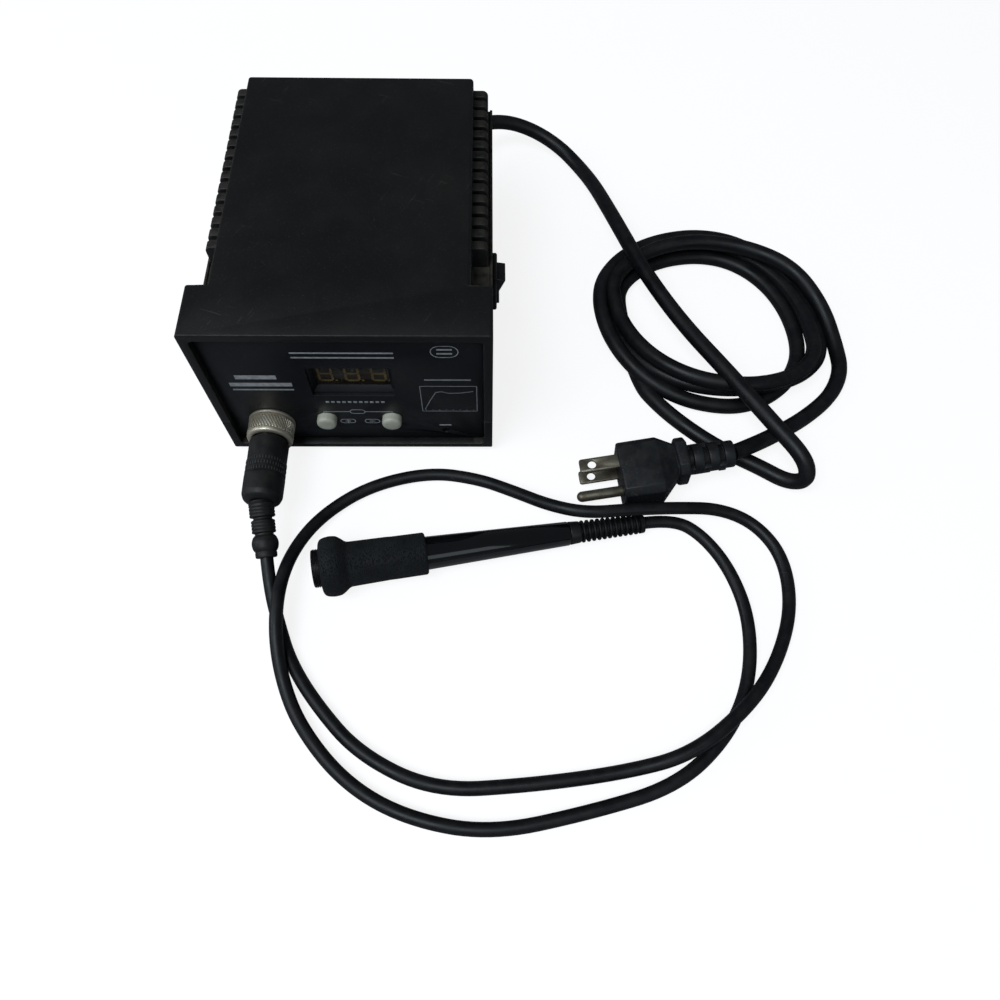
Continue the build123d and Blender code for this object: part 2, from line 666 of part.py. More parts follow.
def make_button(x):
    """Round cap with a domed face and a retaining flange behind the panel."""
    face_y = PANEL_FRONT - BUTTON_PROUD
    flange_y = PANEL_BACK + BUTTON_GAP
    stem = rod_y(BUTTON_RADIUS, (face_y, flange_y + 0.1), (x, BUTTON_Z))
    rim = stem.edges().filter_by(GeomType.CIRCLE).sort_by(Axis.Y)[0]
    stem = fillet(rim, BUTTON_ROUNDING)
    flange = rod_y(BUTTON_FLANGE_RADIUS, (flange_y, flange_y + BUTTON_FLANGE_THICKNESS), (x, BUTTON_Z))
    return stem + flange


def make_tact_switches():
    """Two switches on the board, each stem one travel and a gap behind its button."""
    switches = []
    stem_tip = PANEL_BACK + BUTTON_GAP + BUTTON_FLANGE_THICKNESS + BUTTON_TRAVEL + 0.2
    for x in BUTTON_X.values():
        half = TACT_SIDE / 2
        body = block((x - half, x + half), (BOARD_FRONT - TACT_HEIGHT, BOARD_FRONT),
                     (BUTTON_Z - half, BUTTON_Z + half))
        stem_y = (stem_tip, BOARD_FRONT - TACT_HEIGHT + NIP)
        switches.append(body + rod_y(TACT_STEM_RADIUS, stem_y, (x, BUTTON_Z)))
    return switches


def trimmer_screw_span():
    """Y values of the calibration screw's face and its inner end."""
    face = BOARD_FRONT - TRIMMER_HEIGHT - 0.4
    return face, face + TRIMMER_SCREW_LENGTH


def make_trimmer_body():
    """Calibration trimmer on the board, bored for its screw."""
    half = TRIMMER_SIDE / 2
    body = block((TRIMMER_X - half, TRIMMER_X + half), (BOARD_FRONT - TRIMMER_HEIGHT, BOARD_FRONT),
                 (TRIMMER_Z - half, TRIMMER_Z + half))
    face, inner = trimmer_screw_span()
    return body - rod_y(TRIMMER_SCREW_RADIUS + TRIMMER_SCREW_CLEARANCE, (face - CUT, inner + 0.2),
                        (TRIMMER_X, TRIMMER_Z))


def make_trimmer_screw():
    """Slotted calibration screw in line with the hole in the front panel."""
    face, inner = trimmer_screw_span()
    screw = rod_y(TRIMMER_SCREW_RADIUS, (face, inner), (TRIMMER_X, TRIMMER_Z))
    return screw - block((TRIMMER_X - 2.0, TRIMMER_X + 2.0), (face - CUT, face + 0.8),
                         (TRIMMER_Z - 0.25, TRIMMER_Z + 0.25))


def board_hole_places():
    """(x, z) of the board's four fixing holes."""
    return [
        (BOARD_X + sx * BOARD_HOLE_SPACING_X / 2, BOARD_Z + sz * BOARD_HOLE_SPACING_Z / 2)
        for sx in (-1, 1)
        for sz in (-1, 1)
    ]


def make_control_board():
    """Circuit board on spacers behind the front panel, beside the socket."""
    board = block((BOARD_X - BOARD_WIDTH / 2, BOARD_X + BOARD_WIDTH / 2),
                  (BOARD_FRONT, BOARD_FRONT + BOARD_THICKNESS),
                  (BOARD_Z - BOARD_HEIGHT / 2, BOARD_Z + BOARD_HEIGHT / 2))
    for place in board_hole_places():
        through = (BOARD_FRONT - CUT, BOARD_FRONT + BOARD_THICKNESS + CUT)
        board -= rod_y(BOARD_SCREW_RADIUS + NIP, through, place)
    return board


def make_board_spacers():
    """Four spacers between the panel and the board, leaving the controls clear."""
    return [
        rod_y(SPACER_RADIUS, (PANEL_BACK, BOARD_FRONT), place)
        - rod_y(BOARD_SCREW_RADIUS, (PANEL_BACK + CUT, BOARD_FRONT + CUT), place)
        for place in board_hole_places()
    ]


def make_board_screws():
    """Four pan-head screws that clamp the board to its spacers."""
    back = BOARD_FRONT + BOARD_THICKNESS
    screws = []
    for place in board_hole_places():
        head = rod_y(BOARD_SCREW_HEAD_RADIUS, (back, back + BOARD_SCREW_HEAD_HEIGHT), place)
        shank = rod_y(BOARD_SCREW_RADIUS - 0.05, (BOARD_FRONT - BOARD_SCREW_REACH, back + 0.1), place)
        screws.append(head + shank)
    return screws


# ---------------------------------------------------------------- connector
SOCKET_PLACE = (SOCKET_X, SOCKET_Z)
FLANGE_FACE = PANEL_FRONT - SOCKET_FLANGE_THICKNESS
RING_REAR = FLANGE_FACE - RING_GAP
RING_FACE = RING_REAR - RING_LENGTH
CONNECTOR_FRONT = RING_FACE - RING_GAP
CONNECTOR_END = CONNECTOR_FRONT - CONNECTOR_LENGTH - CONNECTOR_TAPER_LENGTH


def make_panel_socket():
    """Threaded panel socket with its front flange and five pins in the bore."""
    body = rod_y(SOCKET_RADIUS, (FLANGE_FACE - SOCKET_NOSE, PANEL_BACK + SOCKET_REAR), SOCKET_PLACE)
    body += rod_y(SOCKET_FLANGE_RADIUS, (FLANGE_FACE, PANEL_FRONT), SOCKET_PLACE)
    floor_y = PANEL_BACK
    body -= rod_y(SOCKET_BORE_RADIUS, (FLANGE_FACE - SOCKET_NOSE - CUT, floor_y), SOCKET_PLACE)
    for index in range(PIN_COUNT):
        angle = math.radians(90 + index * 360 / PIN_COUNT)
        place = (SOCKET_X + PIN_CIRCLE_RADIUS * math.cos(angle),
                 SOCKET_Z + PIN_CIRCLE_RADIUS * math.sin(angle))
        body += rod_y(PIN_RADIUS, (PANEL_FRONT, PANEL_BACK + SOCKET_REAR + 3.0), place)
    return body


def make_socket_nut():
    """Hexagonal nut behind the panel."""
    y = (PANEL_BACK, PANEL_BACK + SOCKET_NUT_THICKNESS)
    nut = hexagon_y(SOCKET_NUT_SIZE, y, SOCKET_PLACE)
    return nut - rod_y(SOCKET_RADIUS, (y[0] - CUT, y[1] + CUT), SOCKET_PLACE)


def make_coupling_ring():
    """Ring that turns freely round the plug's neck and the socket's nose."""
    ring = rod_y(RING_RADIUS, (RING_FACE, RING_REAR), SOCKET_PLACE)
    rims = ring.edges().filter_by(GeomType.CIRCLE)
    ring = chamfer(rims, RING_BEVEL)
    return ring - rod_y(RING_BORE_RADIUS, (RING_FACE - CUT, RING_REAR + CUT), SOCKET_PLACE)


def make_connector_body():
    """Sleeve of the cable connector, tapered at its cable end, with a neck inside the ring."""
    neck_end = FLANGE_FACE - SOCKET_NOSE - 0.3
    straight_end = CONNECTOR_FRONT - CONNECTOR_LENGTH
    profile = [
        (neck_end, CONNECTOR_NECK_RADIUS), (CONNECTOR_FRONT, CONNECTOR_NECK_RADIUS),
        (CONNECTOR_FRONT, CONNECTOR_RADIUS - 0.8), (CONNECTOR_FRONT - 0.8, CONNECTOR_RADIUS),
        (straight_end, CONNECTOR_RADIUS), (CONNECTOR_END, CONNECTOR_END_RADIUS),
    ]
    location = placed_by((SOCKET_X, 0, SOCKET_Z), (0, 1, 0))
    return location * turned_x(profile) - make_connector_relief()


RELIEF_AXIS = aimed(-90.0 + RELIEF_YAW, -RELIEF_DROOP)
RELIEF_ORIGIN = (SOCKET_X, CONNECTOR_END, SOCKET_Z)
RELIEF_LENGTH = RELIEF_BALL_START + RELIEF_BALL_LENGTH + RELIEF_LIP_LENGTH
IRON_CORD_START = stepped(RELIEF_ORIGIN, RELIEF_AXIS, RELIEF_LENGTH)


def make_connector_relief():
    """Drooping strain relief: two collars, then a ball with a lip at the cord."""
    relief = rod_x(RELIEF_CORE_RADIUS, (-1.6, RELIEF_LENGTH - 0.5))
    for start, length, radius in RELIEF_SEGMENTS:
        relief += turned_x([(start, radius - 0.4), (start + 0.4, radius),
                            (start + length - 0.5, radius), (start + length, radius - 0.5)])
    ball_end = RELIEF_BALL_START + RELIEF_BALL_LENGTH
    relief += turned_x([
        (RELIEF_BALL_START, RELIEF_BALL_RADIUS * 0.72), (RELIEF_BALL_START + 1.6, RELIEF_BALL_RADIUS * 0.94),
        (RELIEF_BALL_START + 3.4, RELIEF_BALL_RADIUS), (ball_end - 1.4, RELIEF_BALL_RADIUS * 0.93),
        (ball_end, RELIEF_BALL_RADIUS * 0.8),
    ])
    relief += turned_x([(ball_end - 0.1, RELIEF_LIP_RADIUS), (RELIEF_LENGTH, RELIEF_LIP_RADIUS - 0.3)])
    return placed_by(RELIEF_ORIGIN, RELIEF_AXIS) * relief


# ---------------------------------------------------------------- iron
IRON_AXIS = aimed(IRON_YAW, IRON_NOSE_UP)
IRON_PLACE = placed_by(IRON_EXIT, IRON_AXIS)
IRON_CAP_END = IRON_RELIEF_LENGTH + IRON_CAP_LENGTH
IRON_GRIP_START = IRON_CAP_END + IRON_TUBE_TAPER_LENGTH
IRON_GRIP_END = IRON_GRIP_START + IRON_GRIP_LENGTH
IRON_COLLAR_START = IRON_GRIP_END
IRON_COLLAR_END = IRON_COLLAR_START + IRON_COLLAR_LENGTH
IRON_BORE_RADIUS = IRON_TUBE_FRONT_RADIUS - IRON_TUBE_WALL
IRON_COLLAR_RADIUS = IRON_TUBE_FRONT_RADIUS + IRON_COLLAR_STEP
IRON_GRIP_REAR_RADIUS = IRON_TUBE_FRONT_RADIUS + IRON_GRIP_REAR_WALL
IRON_GRIP_NECK_RADIUS = IRON_TUBE_FRONT_RADIUS + IRON_GRIP_NECK_WALL
IRON_GRIP_FLARE_RADIUS = IRON_TUBE_FRONT_RADIUS + IRON_GRIP_FLARE_WALL


def make_iron_relief():
    """Ribbed strain relief at the rear of the handle."""
    pitch = IRON_RELIEF_LENGTH / IRON_RELIEF_RINGS
    relief = rod_x(IRON_RELIEF_CORE, (0.0, IRON_RELIEF_LENGTH))
    for index in range(IRON_RELIEF_RINGS):
        share = index / (IRON_RELIEF_RINGS - 1)
        radius = IRON_RING_REAR_RADIUS + share * (IRON_RING_FRONT_RADIUS - IRON_RING_REAR_RADIUS)
        start = index * pitch
        relief += turned_x([(start, radius - 0.3), (start + 0.3, radius),
                            (start + pitch * 0.6 - 0.3, radius), (start + pitch * 0.6, radius - 0.3)])
    return IRON_PLACE * relief


def make_iron_cap():
    """Smooth collar between the strain relief and the handle tube."""
    cap = turned_x([(IRON_RELIEF_LENGTH, IRON_RING_FRONT_RADIUS - 0.3),
                    (IRON_CAP_END, IRON_TUBE_REAR_RADIUS - NIP)])
    return IRON_PLACE * cap


def make_iron_tube():
    """Hollow tapered handle tube with a straight front part under the grip."""
    front = IRON_COLLAR_START
    tube = turned_x([(IRON_CAP_END, IRON_TUBE_REAR_RADIUS), (IRON_GRIP_START, IRON_TUBE_FRONT_RADIUS),
                     (front, IRON_TUBE_FRONT_RADIUS)])
    rear_bore = IRON_TUBE_REAR_RADIUS - IRON_TUBE_WALL
    tube -= turned_x([(IRON_CAP_END + 4.0, rear_bore), (IRON_GRIP_START, IRON_BORE_RADIUS),
                      (front + CUT, IRON_BORE_RADIUS)])
    return IRON_PLACE * tube


def make_iron_grip():
    """Foam sleeve, slim at the rear and flared at the front as a finger stop."""
    flare_start = IRON_GRIP_END - IRON_GRIP_FLARE_LENGTH
    outline = [
        (IRON_GRIP_START, IRON_GRIP_REAR_RADIUS - 1.4), (IRON_GRIP_START + 1.4, IRON_GRIP_REAR_RADIUS),
        (flare_start - 2.0, IRON_GRIP_NECK_RADIUS), (flare_start + 1.0, IRON_GRIP_NECK_RADIUS + 0.8),
        (flare_start + 3.2, IRON_GRIP_FLARE_RADIUS - 0.8), (flare_start + 5.0, IRON_GRIP_FLARE_RADIUS),
        (IRON_GRIP_END - 3.4, IRON_GRIP_FLARE_RADIUS), (IRON_GRIP_END - 1.2, IRON_GRIP_FLARE_RADIUS - 1.0),
        (IRON_GRIP_END, IRON_GRIP_FLARE_RADIUS - 2.8),
    ]
    grip = turned_x(outline)
    grip -= rod_x(IRON_TUBE_FRONT_RADIUS + IRON_GRIP_CLEARANCE, (IRON_GRIP_START - CUT, IRON_GRIP_END + CUT))
    return IRON_PLACE * grip


def make_iron_collar():
    """Nose collar that takes the tip nut, with a spigot in the tube."""
    collar = rod_x(IRON_COLLAR_RADIUS, (IRON_COLLAR_START, IRON_COLLAR_END))
    spigot_x = (IRON_COLLAR_START - IRON_SPIGOT_LENGTH, IRON_COLLAR_START + NIP)
    collar += rod_x(IRON_BORE_RADIUS - THREAD_CLEARANCE, spigot_x)
    collar -= rod_x(IRON_COLLAR_BORE, (IRON_COLLAR_START - IRON_SPIGOT_LENGTH - CUT, IRON_COLLAR_END + CUT))
    return IRON_PLACE * collar


def make_iron_socket():
    """Terminal block inside the tube that the heater plugs into."""
    end = IRON_COLLAR_START - IRON_SPIGOT_LENGTH - 0.3
    socket = rod_x(IRON_BORE_RADIUS - 0.1, (end - IRON_SOCKET_LENGTH, end))
    for index in range(PIN_COUNT):
        angle = math.radians(index * 360 / PIN_COUNT)
        hole = rod_x(0.9, (end - 6.0, end + CUT))
        socket -= Pos(0, 3.2 * math.cos(angle), 3.2 * math.sin(angle)) * hole
    return IRON_PLACE * socket


# ---------------------------------------------------------------- power switch
def make_switch_housing():
    """Snap-in switch frame in the right wall with a pocket for the rocker."""
    half_w, half_l = SWITCH_BEZEL_WIDTH / 2, SWITCH_BEZEL_LENGTH / 2
    bezel = block((HALF_WIDTH, HALF_WIDTH + SWITCH_BEZEL_THICKNESS), (ROCKER_Y - half_w, ROCKER_Y + half_w),
                  (ROCKER_Z - half_l, ROCKER_Z + half_l))
    rim = bezel.edges().group_by(Axis.X)[-1]
    bezel = fillet(rim, 0.8)
    body_w, body_l = SWITCH_BODY_WIDTH / 2, SWITCH_BODY_LENGTH / 2
    body = block((HALF_WIDTH - SWITCH_BODY_DEPTH, HALF_WIDTH + 0.1), (ROCKER_Y - body_w, ROCKER_Y + body_w),
                 (ROCKER_Z - body_l, ROCKER_Z + body_l))
    housing = bezel + body
    pocket_w = ROCKER_WIDTH / 2 + ROCKER_POCKET_MARGIN
    pocket_l = ROCKER_LENGTH / 2 + ROCKER_POCKET_MARGIN
    housing -= block((HALF_WIDTH - ROCKER_TAIL_DEPTH - 4.0, HALF_WIDTH + 5.0),
                     (ROCKER_Y - pocket_w, ROCKER_Y + pocket_w), (ROCKER_Z - pocket_l, ROCKER_Z + pocket_l))
    for dz in (-5.0, 5.0):
        blade_x = (HALF_WIDTH - SWITCH_BODY_DEPTH - 7.0, HALF_WIDTH - SWITCH_BODY_DEPTH + 0.2)
        housing += block(blade_x, (ROCKER_Y - TAB_WIDTH / 2, ROCKER_Y + TAB_WIDTH / 2),
                         (ROCKER_Z + dz - TAB_THICKNESS / 2, ROCKER_Z + dz + TAB_THICKNESS / 2))
    return housing


def make_power_rocker():
    """Rocker with a V face, tipped to the side on which its upper end stands proud."""
    half = ROCKER_LENGTH / 2
    outline = Polyline(
        (-ROCKER_TAIL_DEPTH, -half * 0.5), (0.0, -half), (ROCKER_END_PROUD, -half),
        (ROCKER_MIDDLE_PROUD, 0.0), (ROCKER_END_PROUD, half), (0.0, half),
        (-ROCKER_TAIL_DEPTH, half * 0.5), close=True,
    )
    face = make_face(Plane(origin=(0, ROCKER_WIDTH / 2, 0), x_dir=(1, 0, 0), z_dir=(0, -1, 0)) * outline)
    rocker = extrude(face, amount=ROCKER_WIDTH)
    about_pivot = Rot(0, ROCKER_TILT, 0) * (Pos(ROCKER_PIVOT_DEPTH, 0, 0) * rocker)
    tilted = Pos(-ROCKER_PIVOT_DEPTH, 0, 0) * about_pivot
    return Pos(HALF_WIDTH, ROCKER_Y, ROCKER_Z) * tilted


# ---------------------------------------------------------------- rear panel and power parts
def make_rear_panel():
    """Rear plate with louvres and the holes of the cord gland and the fuse holder."""
    half = HALF_WIDTH - WALL - PANEL_MARGIN
    plate = block((-half, half), (REAR_PANEL_INNER, REAR - WALL),
                  (FLOOR_TOP + PANEL_MARGIN, LEDGE_HEIGHT - WALL - PANEL_MARGIN))
    narrow = TOP_PLATE_WIDTH / 2 - WALL - PANEL_MARGIN
    plate += block((-narrow, narrow), (REAR_PANEL_INNER, REAR - WALL),
                   (LEDGE_HEIGHT - WALL - CUT, HOUSING_TOP - WALL - PANEL_MARGIN))
    through = (REAR_PANEL_INNER - CUT, REAR - WALL + CUT)
    plate -= rod_y(GLAND_THREAD_RADIUS, through, (GLAND_X, GLAND_Z))
    plate -= rod_y(FUSE_RADIUS, through, (FUSE_X, FUSE_Z))
    for index in range(LOUVRE_COUNT):
        z = LOUVRE_LOWEST + index * LOUVRE_PITCH
        plate -= block((LOUVRE_LEFT, LOUVRE_RIGHT), through, (z - LOUVRE_WIDTH / 2, z + LOUVRE_WIDTH / 2))
    return plate


GLAND_FACE = REAR - WALL
GLAND_TIP = GLAND_FACE + GLAND_FLANGE_THICKNESS + GLAND_LENGTH


def make_cord_gland():
    """Tapered, ringed strain relief of the mains lead on the rear panel."""
    flange_end = GLAND_FLANGE_THICKNESS
    profile = [(-PANEL_THICKNESS - GLAND_THREAD_LENGTH, GLAND_THREAD_RADIUS), (0.0, GLAND_THREAD_RADIUS),
               (0.0, GLAND_RADIUS + 1.2), (flange_end, GLAND_RADIUS + 1.2), (flange_end, GLAND_RADIUS)]
    pitch = GLAND_LENGTH / GLAND_RINGS
    for index in range(GLAND_RINGS):
        share = index / GLAND_RINGS
        outer = GLAND_RADIUS + share * (GLAND_TIP_RADIUS - GLAND_RADIUS)
        start = flange_end + index * pitch
        profile += [(start + pitch * 0.6, outer - 0.3), (start + pitch * 0.62, outer - 1.0),
                    (start + pitch * 0.98, outer - 1.1), (start + pitch, outer - 0.6)]
    return placed_by((GLAND_X, GLAND_FACE, GLAND_Z), (0, 1, 0)) * turned_x(profile)


def make_gland_nut():
    """Nut that clamps the gland behind the rear panel."""
    y = (REAR_PANEL_INNER - GLAND_NUT_THICKNESS, REAR_PANEL_INNER)
    nut = hexagon_y(GLAND_NUT_SIZE, y, (GLAND_X, GLAND_Z))
    return nut - rod_y(GLAND_THREAD_RADIUS, (y[0] - CUT, y[1] + CUT), (GLAND_X, GLAND_Z))


def make_fuse_holder():
    """Panel fuse holder with its outer flange."""
    place = (FUSE_X, FUSE_Z)
    holder = rod_y(FUSE_RADIUS, (REAR_PANEL_INNER - FUSE_BODY_LENGTH, GLAND_FACE + 0.1), place)
    holder += rod_y(FUSE_FLANGE_RADIUS, (GLAND_FACE, GLAND_FACE + FUSE_FLANGE_THICKNESS), place)
    return holder


def make_fuse_cap():
    """Screw-in fuse cap with a coin slot."""
    start = GLAND_FACE + FUSE_FLANGE_THICKNESS
    cap = rod_y(FUSE_CAP_RADIUS, (start, start + FUSE_CAP_LENGTH), (FUSE_X, FUSE_Z))
    rim = cap.edges().filter_by(GeomType.CIRCLE).sort_by(Axis.Y)[-1]
    cap = fillet(rim, 0.8)
    end = start + FUSE_CAP_LENGTH
    return cap - block((FUSE_X - FUSE_CAP_RADIUS - CUT, FUSE_X + FUSE_CAP_RADIUS + CUT),
                       (end - 1.4, end + CUT), (FUSE_Z - FUSE_CAP_SLOT / 2, FUSE_Z + FUSE_CAP_SLOT / 2))


CORE_BOTTOM = FLOOR_TOP + PLINTH_HEIGHT
CORE_TOP = CORE_BOTTOM + CORE_HEIGHT


def make_transformer_core():
    """Laminated core with two windows beside its middle leg."""
    y = (TRANSFORMER_Y - CORE_DEPTH / 2, TRANSFORMER_Y + CORE_DEPTH / 2)
    core = block((-CORE_WIDTH / 2, CORE_WIDTH / 2), y, (CORE_BOTTOM, CORE_TOP))
    middle = (CORE_BOTTOM + CORE_TOP) / 2
    for side in (-1, 1):
        window_x = sorted((side * CORE_LEG_WIDTH / 2, side * (CORE_LEG_WIDTH / 2 + CORE_WINDOW_WIDTH)))
        core -= block(window_x, (y[0] - CUT, y[1] + CUT),
                      (middle - CORE_WINDOW_HEIGHT / 2, middle + CORE_WINDOW_HEIGHT / 2))
    return core


def make_transformer_winding():
    """Wound bobbin round the middle leg, standing out of the windows front and rear."""
    middle = (CORE_BOTTOM + CORE_TOP) / 2
    half_height = CORE_WINDOW_HEIGHT / 2 - WINDING_MARGIN
    half_width = CORE_LEG_WIDTH / 2 + CORE_WINDOW_WIDTH - WINDING_MARGIN
    half_depth = CORE_DEPTH / 2 + WINDING_OVERHANG
    winding = block((-half_width, half_width), (TRANSFORMER_Y - half_depth, TRANSFORMER_Y + half_depth),
                    (middle - half_height, middle + half_height))
    vertical = winding.edges().filter_by(Axis.Z)
    winding = fillet(vertical, 4.0)
    leg_half = CORE_LEG_WIDTH / 2 + WINDING_MARGIN
    leg_depth = CORE_DEPTH / 2 + WINDING_MARGIN
    return winding - block((-leg_half, leg_half), (TRANSFORMER_Y - leg_depth, TRANSFORMER_Y + leg_depth),
                           (middle - half_height - CUT, middle + half_height + CUT))


def make_transformer_bracket():
    """Bent steel strap over the core with a screw foot each side."""
    half = CORE_WIDTH / 2
    y = (TRANSFORMER_Y - CORE_DEPTH / 2 + 4.0, TRANSFORMER_Y + CORE_DEPTH / 2 - 4.0)
    outer = half + BRACKET_THICKNESS
    strap = block((-outer, outer), y, (CORE_BOTTOM, CORE_TOP + BRACKET_THICKNESS))
    strap -= block((-half, half), (y[0] - CUT, y[1] + CUT), (CORE_BOTTOM - CUT, CORE_TOP))
    for side in (-1, 1):
        foot_x = sorted((side * half, side * (half + BRACKET_FOOT_LENGTH)))
        strap += block(foot_x, y, (CORE_BOTTOM, CORE_BOTTOM + BRACKET_THICKNESS))
        screw_x = side * (half + BRACKET_FOOT_LENGTH / 2)
        strap -= rod_z(BRACKET_SCREW_RADIUS + 0.2, (CORE_BOTTOM - CUT, CORE_BOTTOM + BRACKET_THICKNESS + CUT),
                       (screw_x, TRANSFORMER_Y))
    return strap


def make_bracket_screws():
    """Two screws through the bracket's feet into the plinth."""
    seat = CORE_BOTTOM + BRACKET_THICKNESS
    screws = []
    for side in (-1, 1):
        place = (side * (CORE_WIDTH / 2 + BRACKET_FOOT_LENGTH / 2), TRANSFORMER_Y)
        head = rod_z(BRACKET_SCREW_HEAD_RADIUS, (seat, seat + BRACKET_SCREW_HEAD_HEIGHT), place)
        shank = rod_z(BRACKET_SCREW_RADIUS - 0.05, (seat - BRACKET_SCREW_LENGTH + 0.5, seat + 0.1), place)
        screws.append(head + shank)
    return screws


# ---------------------------------------------------------------- mains plug
PLUG_AXIS = aimed(PLUG_YAW, -PLUG_NOSE_DOWN)


def plug_location():
    """Local X runs back from the plug's face, Y towards the blade side, Z along the blade spacing."""
    back = tuple(-c for c in PLUG_AXIS)
    return placed_by(PLUG_FACE, back) * Location((0, 0, 0), (PLUG_ROLL, 0, 0))


PLUG_PLACE = plug_location()
PLUG_CORD_START = tuple(
    (PLUG_PLACE * Location((PLUG_LENGTH + PLUG_RELIEF_LENGTH, -PLUG_AXIS_OFFSET, 0))).position)


def plug_outline(scale_y, scale_z, along):
    """Rounded cross-section of the plug body at a distance behind its face."""
    width = (PLUG_BLADE_SIDE + PLUG_GROUND_SIDE) * scale_y
    middle = (PLUG_BLADE_SIDE - PLUG_GROUND_SIDE) / 2 * scale_y - PLUG_AXIS_OFFSET * (1 - scale_y)
    place = Plane(origin=(along, middle, 0), x_dir=(0, 1, 0), z_dir=(1, 0, 0))
    return place * RectangleRounded(width, 2 * PLUG_HALF_THICKNESS * scale_z, 4.0 * scale_y)


def make_plug_body():
    """Moulded body: full section, taper to the neck, and an oval collar."""
    front = loft([plug_outline(0.97, 0.97, 0.0), plug_outline(1.0, 1.0, PLUG_SHOULDER)])
    neck_end = PLUG_LENGTH - PLUG_COLLAR_LENGTH
    taper = loft([plug_outline(1.0, 1.0, PLUG_SHOULDER), plug_outline(0.56, 0.68, neck_end)])
    collar = Pos(0, -PLUG_AXIS_OFFSET, 0) * turned_x([
        (neck_end - 0.4, PLUG_COLLAR_RADIUS - 0.9), (neck_end + 0.6, PLUG_COLLAR_RADIUS),
        (PLUG_LENGTH - 0.6, PLUG_COLLAR_RADIUS), (PLUG_LENGTH, PLUG_COLLAR_RADIUS - 0.9)])
    body = front + taper + collar
    for side in (-1, 1):
        slot = block((-CUT, BLADE_ROOT), (-BLADE_WIDTH / 2, BLADE_WIDTH / 2),
                     (side * BLADE_SPACING / 2 - BLADE_THICKNESS / 2, side * BLADE_SPACING / 2 + BLADE_THICKNESS / 2))
        body -= slot
    body -= Pos(0, -GROUND_PIN_OFFSET, 0) * rod_x(GROUND_PIN_ROOT_RADIUS, (-CUT, BLADE_ROOT))
    return PLUG_PLACE * body


def make_plug_relief():
    """Slotted strain relief of three segments behind the plug."""
    relief = rod_x(PLUG_RELIEF_CORE, (PLUG_LENGTH, PLUG_LENGTH + PLUG_RELIEF_LENGTH))
    pitch = PLUG_RELIEF_LENGTH / PLUG_RELIEF_SEGMENTS
    for index in range(PLUG_RELIEF_SEGMENTS):
        share = index / (PLUG_RELIEF_SEGMENTS - 1)
        radius = PLUG_RELIEF_RADIUS + share * (PLUG_RELIEF_TIP_RADIUS - PLUG_RELIEF_RADIUS)
        start = PLUG_LENGTH + index * pitch + PLUG_RELIEF_GAP
        end = PLUG_LENGTH + (index + 1) * pitch
        relief += turned_x([(start, radius - 0.5), (start + 0.5, radius),
                            (end - 0.6, radius), (end, radius - 0.6)])
    return PLUG_PLACE * (Pos(0, -PLUG_AXIS_OFFSET, 0) * relief)


def make_plug_blades():
    """Two flat blades with a hole near each tip."""
    blades = []
    for side in (-1, 1):
        z = side * BLADE_SPACING / 2
        blade = block((-BLADE_LENGTH, BLADE_ROOT), (-BLADE_WIDTH / 2, BLADE_WIDTH / 2),
                      (z - BLADE_THICKNESS / 2, z + BLADE_THICKNESS / 2))
        tip = blade.edges().filter_by(Axis.Z).group_by(Axis.X)[0]
        blade = fillet(tip, 1.2)
        blade -= Pos(-BLADE_HOLE_POSITION, 0, z) * Cylinder(BLADE_HOLE_RADIUS, 2 * BLADE_THICKNESS)
        blades.append(PLUG_PLACE * blade)
    return blades


def make_ground_pin():
    """Round ground pin with a domed tip and a slimmer root in the body."""
    dome = -GROUND_PIN_LENGTH + GROUND_PIN_RADIUS
    pin = rod_x(GROUND_PIN_RADIUS, (dome, 0.0))
    pin += Pos(dome, 0, 0) * Sphere(GROUND_PIN_RADIUS)
    pin += rod_x(GROUND_PIN_ROOT_RADIUS, (-0.1, BLADE_ROOT))
    return PLUG_PLACE * (Pos(0, -GROUND_PIN_OFFSET, 0) * pin)


# ---------------------------------------------------------------- cords
def make_mains_coil():
    """Loose coil as one elliptical ring lying on the bench."""
    plane = Plane(origin=(*COIL_CENTRE, 0)) * Rot(0, 0, COIL_TURN)
    ring = extrude(plane * (Ellipse(*COIL_OUTER) - Ellipse(*COIL_INNER)), amount=COIL_HEIGHT)
    top_edges = ring.edges().group_by(Axis.Z)[-1]
    return chamfer(top_edges, COIL_EDGE)


def make_cords():
    """Iron cord, mains lead and mains tail as tubes; the lead and tail are cut at the coil's wall."""
    iron_end = stepped(IRON_EXIT, IRON_AXIS, -IRON_CORD_GAP)
    straight_out = stepped(IRON_CORD_START, RELIEF_AXIS, CORD_STRAIGHT_OUT)
    iron_route = [IRON_CORD_START, straight_out, *IRON_CORD_ROUTE, iron_end]
    iron_cord = cord_tube(iron_route, IRON_CORD_DIAMETER, "iron_cord")
    gland_tip = (GLAND_X, GLAND_TIP, GLAND_Z)
    lead = cord_tube([gland_tip, *MAINS_LEAD_ROUTE, MAINS_LEAD_END], MAINS_CORD_DIAMETER, "mains_lead")
    tail_points = [MAINS_TAIL_START, *MAINS_TAIL_ROUTE, PLUG_CORD_START]
    tail = cord_tube(tail_points, MAINS_CORD_DIAMETER, "mains_tail")
    return iron_cord, lead, tail


